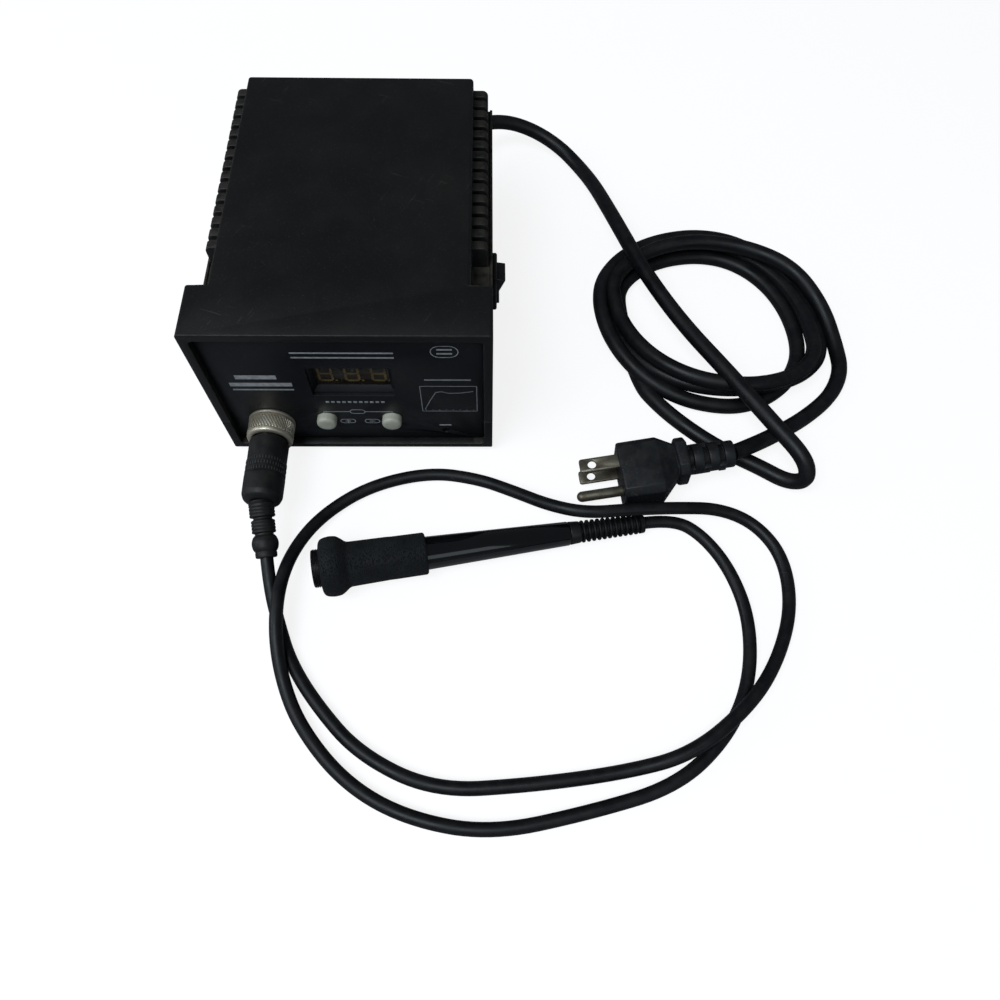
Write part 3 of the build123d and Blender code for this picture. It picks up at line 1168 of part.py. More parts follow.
SINGLE_NODES = {
    "top_cover": make_top_cover,
    "base_shell": make_base_shell,
    "front_panel": make_front_panel,
    "display_bezel": make_display_bezel,
    "led_display": make_led_display,
    "up_button": lambda: make_button(BUTTON_X["up"]),
    "down_button": lambda: make_button(BUTTON_X["down"]),
    "trimmer_body": make_trimmer_body,
    "trimmer_screw": make_trimmer_screw,
    "control_board": make_control_board,
    "panel_socket": make_panel_socket,
    "socket_nut": make_socket_nut,
    "coupling_ring": make_coupling_ring,
    "connector_body": make_connector_body,
    "connector_relief": make_connector_relief,
    "iron_relief": make_iron_relief,
    "iron_cap": make_iron_cap,
    "iron_tube": make_iron_tube,
    "iron_grip": make_iron_grip,
    "iron_collar": make_iron_collar,
    "iron_socket": make_iron_socket,
    "switch_housing": make_switch_housing,
    "power_rocker": make_power_rocker,
    "rear_panel": make_rear_panel,
    "cord_gland": make_cord_gland,
    "gland_nut": make_gland_nut,
    "fuse_holder": make_fuse_holder,
    "fuse_cap": make_fuse_cap,
    "transformer_core": make_transformer_core,
    "transformer_winding": make_transformer_winding,
    "transformer_bracket": make_transformer_bracket,
    "plug_body": make_plug_body,
    "plug_relief": make_plug_relief,
    "ground_pin": make_ground_pin,
    "mains_coil": make_mains_coil,
}
GROUP_NODES = {
    "rubber_feet": make_rubber_feet,
    "case_screws": make_case_screws,
    "tact_switches": make_tact_switches,
    "board_spacers": make_board_spacers,
    "board_screws": make_board_screws,
    "bracket_screws": make_bracket_screws,
    "plug_blades": make_plug_blades,
}

for node, make in SINGLE_NODES.items():
    save(node, make())
for node, make in GROUP_NODES.items():
    save(node, Compound(children=make()))
for node, shape in zip(("iron_cord", "mains_lead", "mains_tail"), make_cords()):
    save(node, shape)
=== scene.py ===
"""Looks of a compact soldering iron station: housing, plug-in iron on its cord, and mains lead.

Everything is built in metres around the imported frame, +Z up, with the front panel facing -Y.
Sizes in the dataclasses are millimetres, and MM turns them into metres.
"""

from __future__ import annotations

import logging
import math
from dataclasses import dataclass, field
from enum import Enum
from typing import Sequence

import bmesh
import bpy
from mathutils import Matrix, Vector


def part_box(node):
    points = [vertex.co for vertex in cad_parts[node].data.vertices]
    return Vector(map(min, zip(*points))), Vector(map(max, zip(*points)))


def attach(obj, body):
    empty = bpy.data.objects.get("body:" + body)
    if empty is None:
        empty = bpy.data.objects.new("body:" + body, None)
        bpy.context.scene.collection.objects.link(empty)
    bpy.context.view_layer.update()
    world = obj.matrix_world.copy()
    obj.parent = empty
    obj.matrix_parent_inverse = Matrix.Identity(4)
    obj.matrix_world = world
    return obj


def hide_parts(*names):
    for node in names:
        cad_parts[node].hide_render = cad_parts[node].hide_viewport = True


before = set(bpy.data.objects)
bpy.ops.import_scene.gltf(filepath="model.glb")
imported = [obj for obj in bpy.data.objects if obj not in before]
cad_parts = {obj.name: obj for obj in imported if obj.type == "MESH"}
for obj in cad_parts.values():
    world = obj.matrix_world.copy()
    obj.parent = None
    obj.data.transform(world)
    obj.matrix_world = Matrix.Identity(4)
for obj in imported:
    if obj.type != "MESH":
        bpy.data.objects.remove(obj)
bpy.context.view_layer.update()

LOG = logging.getLogger("soldering_station")
MM = 0.001
WELD_DISTANCE = 1e-6
FLAT_ANGLE = 0.3
SHARP_ANGLE = 40.0
Point = tuple[float, float, float]
Colour = tuple[float, float, float]


# ---------------------------------------------------------------- frames and meshes
def aimed(yaw: float, pitch: float) -> Point:
    """Unit direction from a yaw about Z and a pitch above the level.

    Args:
        yaw: Degrees from +X towards +Y.
        pitch: Degrees above the level.

    Returns:
        The direction as three numbers.
    """
    yaw, pitch = math.radians(yaw), math.radians(pitch)
    level = math.cos(pitch)
    return (math.cos(yaw) * level, math.sin(yaw) * level, math.sin(pitch))


@dataclass(frozen=True)
class LocalAxis:
    """A local frame whose Z runs along a piece, from an origin in millimetres."""

    origin: Point
    direction: Point

    def matrix(self) -> Matrix:
        """Returns the matrix from the local frame, in metres, to the row frame."""
        z_axis = Vector(self.direction).normalized()
        helper = Vector((0, 0, 1)) if abs(z_axis.z) < 0.9 else Vector((0, 1, 0))
        x_axis = helper.cross(z_axis).normalized()
        y_axis = z_axis.cross(x_axis)
        turned = Matrix((x_axis, y_axis, z_axis)).transposed().to_4x4()
        turned.translation = Vector(self.origin) * MM
        return turned

    def at(self, distance: float) -> Point:
        """Returns the point at a distance along the axis, in millimetres."""
        step = Vector(self.direction).normalized() * distance
        return tuple(Vector(self.origin) + step)


def new_object(name: str, mesh: bpy.types.Mesh, material: bpy.types.Material | None = None) -> bpy.types.Object:
    """Links an object for a mesh and gives it one material.

    Args:
        name: The piece's name.
        mesh: Its mesh, in metres, in the row frame.
        material: Its material, if it has one yet.

    Returns:
        The new object.
    """
    piece = bpy.data.objects.new(name, mesh)
    bpy.context.scene.collection.objects.link(piece)
    if material is not None:
        mesh.materials.clear()
        mesh.materials.append(material)
    return piece


def smooth(mesh: bpy.types.Mesh, sharp_degrees: float = 38.0) -> None:
    """Shades a mesh smooth, with edges sharper than an angle kept crisp."""
    mesh.shade_smooth()
    mesh.set_sharp_from_angle(angle=math.radians(sharp_degrees))


def lathe(profile: Sequence[tuple[float, float]], segments: int = 64, closed: bool = False) -> bpy.types.Mesh:
    """Turns an outline about local Z.

    Args:
        profile: (along, radius) points in millimetres, going up on the outside.
        segments: Facets round the axis.
        closed: True joins the last point to the first, as on a ring with a bore.

    Returns:
        A closed mesh in metres, about local Z.
    """
    verts = [
        Vector((radius * math.cos(turn), radius * math.sin(turn), along)) * MM
        for along, radius in profile
        for turn in (2 * math.pi * j / segments for j in range(segments))
    ]
    rows = len(profile)
    faces = []
    for i in range(rows if closed else rows - 1):
        here, there = i * segments, ((i + 1) % rows) * segments
        for j in range(segments):
            k = (j + 1) % segments
            faces.append((here + j, here + k, there + k, there + j))
    if not closed:
        faces.append(tuple(reversed(range(segments))))
        faces.append(tuple((rows - 1) * segments + j for j in range(segments)))
    mesh = bpy.data.meshes.new("lathe")
    mesh.from_pydata([tuple(v) for v in verts], [], faces)
    smooth(mesh)
    return mesh


def rounded(profile: Sequence[tuple[float, float]], radius: float, steps: int = 3) -> list[tuple[float, float]]:
    """Rounds the inner corners of an open outline.

    Args:
        profile: (along, radius) points in millimetres.
        radius: How far each corner is cut back along its two sides, at most.
        steps: Points on each rounded corner, less one.

    Returns:
        The outline with each corner as a short curve.
    """
    points = [Vector(p) for p in profile]
    made = [profile[0]]
    for before, corner, after in zip(points, points[1:], points[2:]):
        cut = min(radius, (corner - before).length * 0.45, (after - corner).length * 0.45)
        start = corner + (before - corner).normalized() * cut
        end = corner + (after - corner).normalized() * cut
        for step in range(steps + 1):
            t = step / steps
            bent = start * (1 - t) ** 2 + corner * 2 * t * (1 - t) + end * t**2
            made.append((bent.x, bent.y))
    made.append(profile[-1])
    return made


def block_mesh(size: Point, bevel: float, centre: Point = (0, 0, 0)) -> bpy.types.Mesh:
    """Makes a box with bevelled edges.

    Args:
        size: Its three sides in millimetres.
        bevel: The bevel's width in millimetres.
        centre: Its middle in millimetres.

    Returns:
        The mesh in metres.
    """
    made = bmesh.new()
    bmesh.ops.create_cube(made, size=1.0)
    for vert in made.verts:
        vert.co = Vector((vert.co.x * size[0], vert.co.y * size[1], vert.co.z * size[2])) * MM
    bmesh.ops.bevel(made, geom=made.edges[:], offset=bevel * MM, segments=2, affect="EDGES", profile=0.5)
    bmesh.ops.translate(made, verts=made.verts, vec=Vector(centre) * MM)
    mesh = bpy.data.meshes.new("block")
    made.to_mesh(mesh)
    made.free()
    smooth(mesh)
    return mesh


def softened(node: str, width: float, segments: int = 2) -> bpy.types.Mesh:
    """Copies a CAD node's mesh and rounds its sharp edges.

    Args:
        node: The CAD node.
        width: The rounding's width in millimetres.
        segments: Facets across each rounded edge.

    Returns:
        The finished mesh in the row frame.
    """
    made = bmesh.new()
    made.from_mesh(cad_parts[node].data)
    bmesh.ops.remove_doubles(made, verts=made.verts, dist=WELD_DISTANCE)
    bmesh.ops.dissolve_limit(made, angle_limit=math.radians(FLAT_ANGLE), verts=made.verts, edges=made.edges)
    mesh = bpy.data.meshes.new(node + "_soft")
    made.to_mesh(mesh)
    made.free()
    low = [min(v.co[i] for v in mesh.vertices) for i in range(3)]
    high = [max(v.co[i] for v in mesh.vertices) for i in range(3)]
    finished = bevelled(mesh, width, segments, SHARP_ANGLE)
    # A rounded edge lies inside the solid, so a corner pushed past its box is brought back to it
    for vertex in finished.vertices:
        vertex.co = [min(max(c, a), b) for c, a, b in zip(vertex.co, low, high)]
    return finished


def bevelled(mesh: bpy.types.Mesh, width: float, segments: int, angle: float) -> bpy.types.Mesh:
    """Rounds the edges of a mesh that are sharper than an angle.

    Args:
        mesh: The mesh in metres.
        width: The rounding's width in millimetres.
        segments: Facets across each rounded edge.
        angle: Degrees past which an edge is rounded.

    Returns:
        The finished mesh.
    """
    carrier = new_object("bevel_carrier", mesh)
    bevel = carrier.modifiers.new("edges", "BEVEL")
    bevel.width = width * MM
    bevel.segments = segments
    bevel.limit_method = "ANGLE"
    bevel.angle_limit = math.radians(angle)
    bevel.use_clamp_overlap = False
    finished = evaluated_mesh(carrier)
    bpy.data.objects.remove(carrier)
    smooth(finished)
    return finished


def evaluated_mesh(carrier: bpy.types.Object) -> bpy.types.Mesh:
    """Returns a plain mesh of an object with its modifiers applied."""
    bpy.context.view_layer.update()
    graph = bpy.context.evaluated_depsgraph_get()
    return bpy.data.meshes.new_from_object(carrier.evaluated_get(graph))


def finish_piece(
    name: str,
    mesh: bpy.types.Mesh,
    material: bpy.types.Material,
    body: str,
    replaces: Sequence[str] = (),
) -> bpy.types.Object:
    """Puts a finished mesh on its body and reports it.

    Args:
        name: The piece's name.
        mesh: Its mesh in the row frame.
        material: Its material.
        body: The body that it rides on.
        replaces: CAD nodes that it stands for.

    Returns:
        The piece.
    """
    piece = new_object(name, mesh, material)
    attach(piece, body)
    if replaces:
        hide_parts(*replaces)
    LOG.info("%s: %d faces on %s", name, len(mesh.polygons), body)
    return piece


def dress_node(node: str, material: bpy.types.Material) -> None:
    """Gives a CAD node that stays in view its material."""
    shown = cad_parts[node]
    shown.data.materials.clear()
    shown.data.materials.append(material)
    LOG.info("%s: CAD node dressed", node)


# ---------------------------------------------------------------- geometry node trees
class TreeBuilder:
    """Builds a geometry node tree with named inputs and one geometry output."""

    def __init__(self, name: str, inputs: dict[str, tuple[str, object]]) -> None:
        """Makes the tree, its sockets and its two end nodes."""
        self.tree = bpy.data.node_groups.new(name, "GeometryNodeTree")
        face = self.tree.interface
        face.new_socket(name="Geometry", in_out="INPUT", socket_type="NodeSocketGeometry")
        for label, (kind, value) in inputs.items():
            made = face.new_socket(name=label, in_out="INPUT", socket_type=kind)
            if value is not None:
                made.default_value = value
        face.new_socket(name="Geometry", in_out="OUTPUT", socket_type="NodeSocketGeometry")
        self.entry = self.tree.nodes.new("NodeGroupInput")
        self.exit = self.tree.nodes.new("NodeGroupOutput")

    def node(self, kind: str, links: dict[object, object] | None = None, **settings: object) -> bpy.types.Node:
        """Adds a node, sets its properties, and links or sets its inputs.

        Args:
            kind: The node's type.
            links: Input name or index to an output socket or a plain value.
            **settings: The node's own properties.

        Returns:
            The new node.
        """
        made = self.tree.nodes.new(kind)
        for key, value in settings.items():
            setattr(made, key, value)
        for key, value in (links or {}).items():
            if isinstance(value, bpy.types.NodeSocket):
                self.tree.links.new(value, made.inputs[key])
            else:
                made.inputs[key].default_value = value
        return made

    def maths(self, operation: str, first: object, second: object = 0.0) -> bpy.types.NodeSocket:
        """Adds a maths node and returns its output."""
        return self.node("ShaderNodeMath", {0: first, 1: second}, operation=operation).outputs[0]

    def given(self, label: str) -> bpy.types.NodeSocket:
        """Returns the tree's own input of that name."""
        return self.entry.outputs[label]

    def close(self, copies: bpy.types.NodeSocket) -> bpy.types.GeometryNodeTree:
        """Ends the tree: copies made real, joined to the base piece, and given the material.

        Args:
            copies: The instances.

        Returns:
            The finished tree.
        """
        real = self.node("GeometryNodeRealizeInstances", {"Geometry": copies})
        joined = self.node("GeometryNodeJoinGeometry")
        self.tree.links.new(real.outputs[0], joined.inputs[0])
        self.tree.links.new(self.given("Geometry"), joined.inputs[0])
        dressed = self.node("GeometryNodeSetMaterial",
                            {"Geometry": joined.outputs[0], "Material": self.given("Material")})
        self.tree.links.new(dressed.outputs[0], self.exit.inputs[0])
        return self.tree


def around_tree() -> bpy.types.GeometryNodeTree:
    """Returns the tree that sets copies of a part in rows round local Z."""
    made = TreeBuilder("parts_round_a_barrel", {
        "Part": ("NodeSocketObject", None),
        "Columns": ("NodeSocketInt", 12),
        "Rows": ("NodeSocketInt", 1),
        "Radius": ("NodeSocketFloat", 0.01),
        "Start": ("NodeSocketFloat", 0.0),
        "Row Pitch": ("NodeSocketFloat", 0.002),
        "Row Turn": ("NodeSocketFloat", 0.0),
        "First Turn": ("NodeSocketFloat", 0.0),
        "Material": ("NodeSocketMaterial", None),
    })
    index = made.node("GeometryNodeInputIndex").outputs[0]
    count = made.maths("MULTIPLY", made.given("Columns"), made.given("Rows"))
    line = made.node("GeometryNodeMeshLine", {"Count": count, "Offset": (0.0, 0.0, 0.0)})
    row = made.maths("FLOOR", made.maths("DIVIDE", index, made.given("Columns")))
    column = made.maths("MODULO", index, made.given("Columns"))
    share = made.maths("DIVIDE", column, made.given("Columns"))
    turn = made.maths("MULTIPLY", share, 2 * math.pi)
    turn = made.maths("ADD", turn, made.maths("MULTIPLY", row, made.given("Row Turn")))
    turn = made.maths("ADD", turn, made.given("First Turn"))
    place = made.node("ShaderNodeCombineXYZ", {
        0: made.maths("MULTIPLY", made.maths("COSINE", turn), made.given("Radius")),
        1: made.maths("MULTIPLY", made.maths("SINE", turn), made.given("Radius")),
        2: made.maths("ADD", made.given("Start"), made.maths("MULTIPLY", row, made.given("Row Pitch"))),
    })
    points = made.node("GeometryNodeSetPosition", {"Geometry": line.outputs[0], "Position": place.outputs[0]})
    euler = made.node("ShaderNodeCombineXYZ", {2: turn})
    facing = made.node("FunctionNodeEulerToRotation", {0: euler.outputs[0]})
    part = made.node("GeometryNodeObjectInfo", {"Object": made.given("Part")})
    copies = made.node("GeometryNodeInstanceOnPoints", {
        "Points": points.outputs[0],
        "Instance": part.outputs["Geometry"],
        "Rotation": facing.outputs[0],
    })
    return made.close(copies.outputs[0])


def along_tree() -> bpy.types.GeometryNodeTree:
    """Returns the tree that sets copies of a part along a line, each scaled across it."""
    made = TreeBuilder("parts_along_a_line", {
        "Part": ("NodeSocketObject", None),
        "Count": ("NodeSocketInt", 8),
        "Start": ("NodeSocketVector", (0.0, 0.0, 0.0)),
        "Step": ("NodeSocketVector", (0.0, 0.0, 0.002)),
        "First Scale": ("NodeSocketFloat", 1.0),
        "Last Scale": ("NodeSocketFloat", 1.0),
        "Material": ("NodeSocketMaterial", None),
    })
    index = made.node("GeometryNodeInputIndex").outputs[0]
    line = made.node("GeometryNodeMeshLine", {
        "Count": made.given("Count"),
        "Start Location": made.given("Start"),
        "Offset": made.given("Step"),
    })
    last = made.maths("MAXIMUM", made.maths("SUBTRACT", made.given("Count"), 1.0), 1.0)
    share = made.maths("DIVIDE", index, last)
    change = made.maths("SUBTRACT", made.given("Last Scale"), made.given("First Scale"))
    across = made.maths("ADD", made.given("First Scale"), made.maths("MULTIPLY", share, change))
    scale = made.node("ShaderNodeCombineXYZ", {0: across, 1: across, 2: 1.0})
    part = made.node("GeometryNodeObjectInfo", {"Object": made.given("Part")})
    copies = made.node("GeometryNodeInstanceOnPoints", {
        "Points": line.outputs[0],
        "Instance": part.outputs["Geometry"],
        "Scale": scale.outputs[0],
    })
    return made.close(copies.outputs[0])


class Pattern(Enum):
    """The two ways in which a part repeats."""

    AROUND = "around"
    ALONG = "along"


class PatternShop:
    """Holds the two trees and runs them on base pieces."""

    def __init__(self) -> None:
        """Builds each tree once."""
        self.trees = {Pattern.AROUND: around_tree(), Pattern.ALONG: along_tree()}

    def run(
        self,
        pattern: Pattern,
        base: bpy.types.Mesh,
        part: bpy.types.Mesh,
        material: bpy.types.Material,
        **values: object,
    ) -> bpy.types.Mesh:
        """Adds repeated parts to a base mesh.

        Args:
            pattern: Which tree to run.
            base: The mesh that they join.
            part: The mesh that repeats.
            material: The material of the whole.
            **values: The tree's inputs, with underscores for spaces.

        Returns:
            One plain mesh in the base's frame.
        """
        tree = self.trees[pattern]
        carrier = new_object("pattern_carrier", base)
        repeated = new_object("pattern_part", part)
        modifier = carrier.modifiers.new("pattern", "NODES")
        modifier.node_group = tree
        sockets = {s.name: s.identifier for s in tree.interface.items_tree if s.in_out == "INPUT"}
        modifier[sockets["Part"]] = repeated
        modifier[sockets["Material"]] = material
        for label, value in values.items():
            modifier[sockets[label.replace("_", " ").title()]] = value
        carrier.update_tag()
        finished = evaluated_mesh(carrier)
        bpy.data.objects.remove(carrier)
        bpy.data.objects.remove(repeated)
        smooth(finished)
        return finished


def placed(mesh: bpy.types.Mesh, axis: LocalAxis) -> bpy.types.Mesh:
    """Moves a mesh from a local frame to the row frame and returns it."""
    mesh.transform(axis.matrix())
    return mesh


# ---------------------------------------------------------------- shader groups
class ShaderSheet:
    """Adds nodes to a shader tree and links them."""

    def __init__(self, tree: bpy.types.NodeTree) -> None:
        """Keeps the tree."""
        self.tree = tree

    def node(self, kind: str, links: dict[object, object] | None = None, **settings: object) -> bpy.types.Node:
        """Adds a node, sets its properties, and links or sets its inputs.

        Args:
            kind: The node's type.
            links: Input name or index to an output socket or a plain value.
            **settings: The node's own properties.

        Returns:
            The new node.
        """
        made = self.tree.nodes.new(kind)
        for key, value in settings.items():
            setattr(made, key, value)
        for key, value in (links or {}).items():
            if isinstance(value, bpy.types.NodeSocket):
                self.tree.links.new(value, made.inputs[key])
            else:
                made.inputs[key].default_value = value
        return made

    def maths(self, operation: str, first: object, second: object = 0.0, clamp: bool = False) -> bpy.types.NodeSocket:
        """Adds a maths node and returns its output."""
        return self.node("ShaderNodeMath", {0: first, 1: second}, operation=operation, use_clamp=clamp).outputs[0]

    def noise(self, vector: object, scale: object, detail: float = 3.0, roughness: float = 0.5) -> bpy.types.NodeSocket:
        """Adds a noise texture and returns its value."""
        links = {"Vector": vector, "Scale": scale, "Detail": detail, "Roughness": roughness}
        return self.node("ShaderNodeTexNoise", links).outputs["Fac"]

    def ramp(self, value: object, low: float, high: float) -> bpy.types.NodeSocket:
        """Maps low to 0 and high to 1, smoothly and held at both ends, and returns it."""
        links = {"Value": value, "From Min": low, "From Max": high}
        return self.node("ShaderNodeMapRange", links, interpolation_type="SMOOTHSTEP").outputs[0]

    def mix(self, share: object, first: object, second: object) -> bpy.types.NodeSocket:
        """Mixes two colours and returns the result."""
        made = self.node("ShaderNodeMix", {0: share}, data_type="RGBA")
        for index, value in ((6, first), (7, second)):
            if isinstance(value, bpy.types.NodeSocket):
                self.tree.links.new(value, made.inputs[index])
            else:
                made.inputs[index].default_value = (*value, 1.0)
        return made.outputs[2]


def new_group(name: str, inputs: dict[str, float], outputs: Sequence[str]) -> tuple[ShaderSheet, bpy.types.Node,
                                                                                    bpy.types.Node]:
    """Makes an empty shader group with float sockets.

    Args:
        name: The group's name.
        inputs: Input names with their default values.
        outputs: Output names.

    Returns:
        The sheet to build on, the entry node and the exit node.
    """
    tree = bpy.data.node_groups.new(name, "ShaderNodeTree")
    for label, value in inputs.items():
        tree.interface.new_socket(name=label, in_out="INPUT", socket_type="NodeSocketFloat").default_value = value
    for label in outputs:
        tree.interface.new_socket(name=label, in_out="OUTPUT", socket_type="NodeSocketFloat")
    sheet = ShaderSheet(tree)
    return sheet, tree.nodes.new("NodeGroupInput"), tree.nodes.new("NodeGroupOutput")


def moulded_grain_group() -> bpy.types.NodeTree:
    """Returns the group for moulded grain: its height, a slow mottle and fine pale specks."""
    sheet, entry, leave = new_group("moulded_grain", {"Grain Scale": 1500.0, "Mottle Scale": 40.0},
                                    ("Height", "Mottle", "Specks"))
    where = sheet.node("ShaderNodeTexCoord").outputs["Object"]
    fine = sheet.noise(where, entry.outputs["Grain Scale"], 2.0, 0.6)
    coarse = sheet.noise(where, sheet.maths("MULTIPLY", entry.outputs["Grain Scale"], 0.35), 2.0)
    height = sheet.maths("ADD", sheet.maths("MULTIPLY", fine, 0.65), sheet.maths("MULTIPLY", coarse, 0.35))
    mottle = sheet.noise(where, entry.outputs["Mottle Scale"], 4.0, 0.55)
    specks = sheet.ramp(sheet.noise(where, sheet.maths("MULTIPLY", entry.outputs["Grain Scale"], 0.8), 1.0), 0.62, 0.78)
    sheet.tree.links.new(height, leave.inputs["Height"])
    sheet.tree.links.new(mottle, leave.inputs["Mottle"])
    sheet.tree.links.new(specks, leave.inputs["Specks"])
    return sheet.tree


def edge_wear_and_highlight_group() -> bpy.types.NodeTree:
    """Returns the group that finds worn edges, broken up by noise; on the housing the pale edges it gives are also a
    painted highlight on rounded edges.
    """
    sheet, entry, leave = new_group("edge_wear_and_highlight", {"Width": 0.0006, "Breakup Scale": 220.0}, ("Mask",))
    where = sheet.node("ShaderNodeTexCoord").outputs["Object"]
    rounded_normal = sheet.node("ShaderNodeBevel", {"Radius": entry.outputs["Width"]}, samples=4).outputs[0]
    plain = sheet.node("ShaderNodeNewGeometry").outputs["Normal"]
    facing = sheet.node("ShaderNodeVectorMath", {0: rounded_normal, 1: plain}, operation="DOT_PRODUCT").outputs["Value"]
    edge = sheet.ramp(facing, 0.995, 0.86)
    broken = sheet.ramp(sheet.noise(where, entry.outputs["Breakup Scale"], 4.0, 0.6), 0.32, 0.66)
    sheet.tree.links.new(sheet.maths("MULTIPLY", edge, broken, True), leave.inputs["Mask"])
    return sheet.tree


def settled_dust_group() -> bpy.types.NodeTree:
    """Returns the group for dust on faces that look up, thicker beside the top plate and on its ledge."""
    inputs = {"Scale": 90.0, "Ledge Height": -1.0, "Ledge Depth": 0.0015, "Side Start": 10.0, "Side Top": 0.084}
    sheet, entry, leave = new_group("settled_dust", inputs, ("Film", "Ledge"))
    where = sheet.node("ShaderNodeTexCoord").outputs["Object"]
    parts = sheet.node("ShaderNodeSeparateXYZ", {0: where})
    up = sheet.node("ShaderNodeSeparateXYZ", {0: sheet.node("ShaderNodeNewGeometry").outputs["Normal"]}).outputs[2]
    up = sheet.ramp(up, 0.2, 0.95)
    patches = sheet.ramp(sheet.noise(where, entry.outputs["Scale"], 5.0, 0.62), 0.36, 0.72)
    film = sheet.maths("MULTIPLY", up, patches)
    off = sheet.maths("ABSOLUTE", sheet.maths("SUBTRACT", parts.outputs[2], entry.outputs["Ledge Height"]))
    near = sheet.maths("LESS_THAN", off, entry.outputs["Ledge Depth"])
    clumps = sheet.ramp(sheet.noise(where, sheet.maths("MULTIPLY", entry.outputs["Scale"], 5.0), 4.0), 0.25, 0.6)
    beside = sheet.maths("GREATER_THAN", sheet.maths("ABSOLUTE", parts.outputs[0]), entry.outputs["Side Start"])
    beside = sheet.maths("MULTIPLY", beside, sheet.maths("LESS_THAN", parts.outputs[2], entry.outputs["Side Top"]))
    depth = sheet.maths("ADD", sheet.maths("MULTIPLY", near, 0.62), 0.38)
    ledge = sheet.maths("MULTIPLY", sheet.maths("MULTIPLY", beside, depth), sheet.maths("MULTIPLY", up, clumps))
    sheet.tree.links.new(film, leave.inputs["Film"])
    sheet.tree.links.new(ledge, leave.inputs["Ledge"])
    return sheet.tree


def scratches_group() -> bpy.types.NodeTree:
    """Returns the group for a few long thin scratches in two directions."""
    sheet, entry, leave = new_group("fine_scratches", {"Scale": 60.0, "Stretch": 26.0}, ("Mask",))
    where = sheet.node("ShaderNodeTexCoord").outputs["Object"]
    masks = []
    for turn in (0.5, 1.9):
        turned = sheet.node("ShaderNodeMapping", {"Vector": where, "Rotation": (0.15, 0.1, turn)}).outputs[0]
        shape = sheet.node("ShaderNodeCombineXYZ", {0: entry.outputs["Stretch"], 1: 1.0, 2: 1.0})
        drawn = sheet.node("ShaderNodeVectorMath", {0: turned, 1: shape.outputs[0]}, operation="MULTIPLY").outputs[0]
        lines = sheet.noise(drawn, entry.outputs["Scale"], 2.0)
        gate = sheet.ramp(sheet.noise(where, 30.0, 2.0), 0.52, 0.66)
        masks.append(sheet.maths("MULTIPLY", sheet.ramp(lines, 0.675, 0.72), gate))
    sheet.tree.links.new(sheet.maths("MAXIMUM", *masks), leave.inputs["Mask"])
    return sheet.tree


class GroupShop:
    """Holds the shared shader groups."""

    def __init__(self) -> None:
        """Builds each group once."""
        self.grain = moulded_grain_group()
        self.wear = edge_wear_and_highlight_group()
        self.dust = settled_dust_group()
        self.scratches = scratches_group()


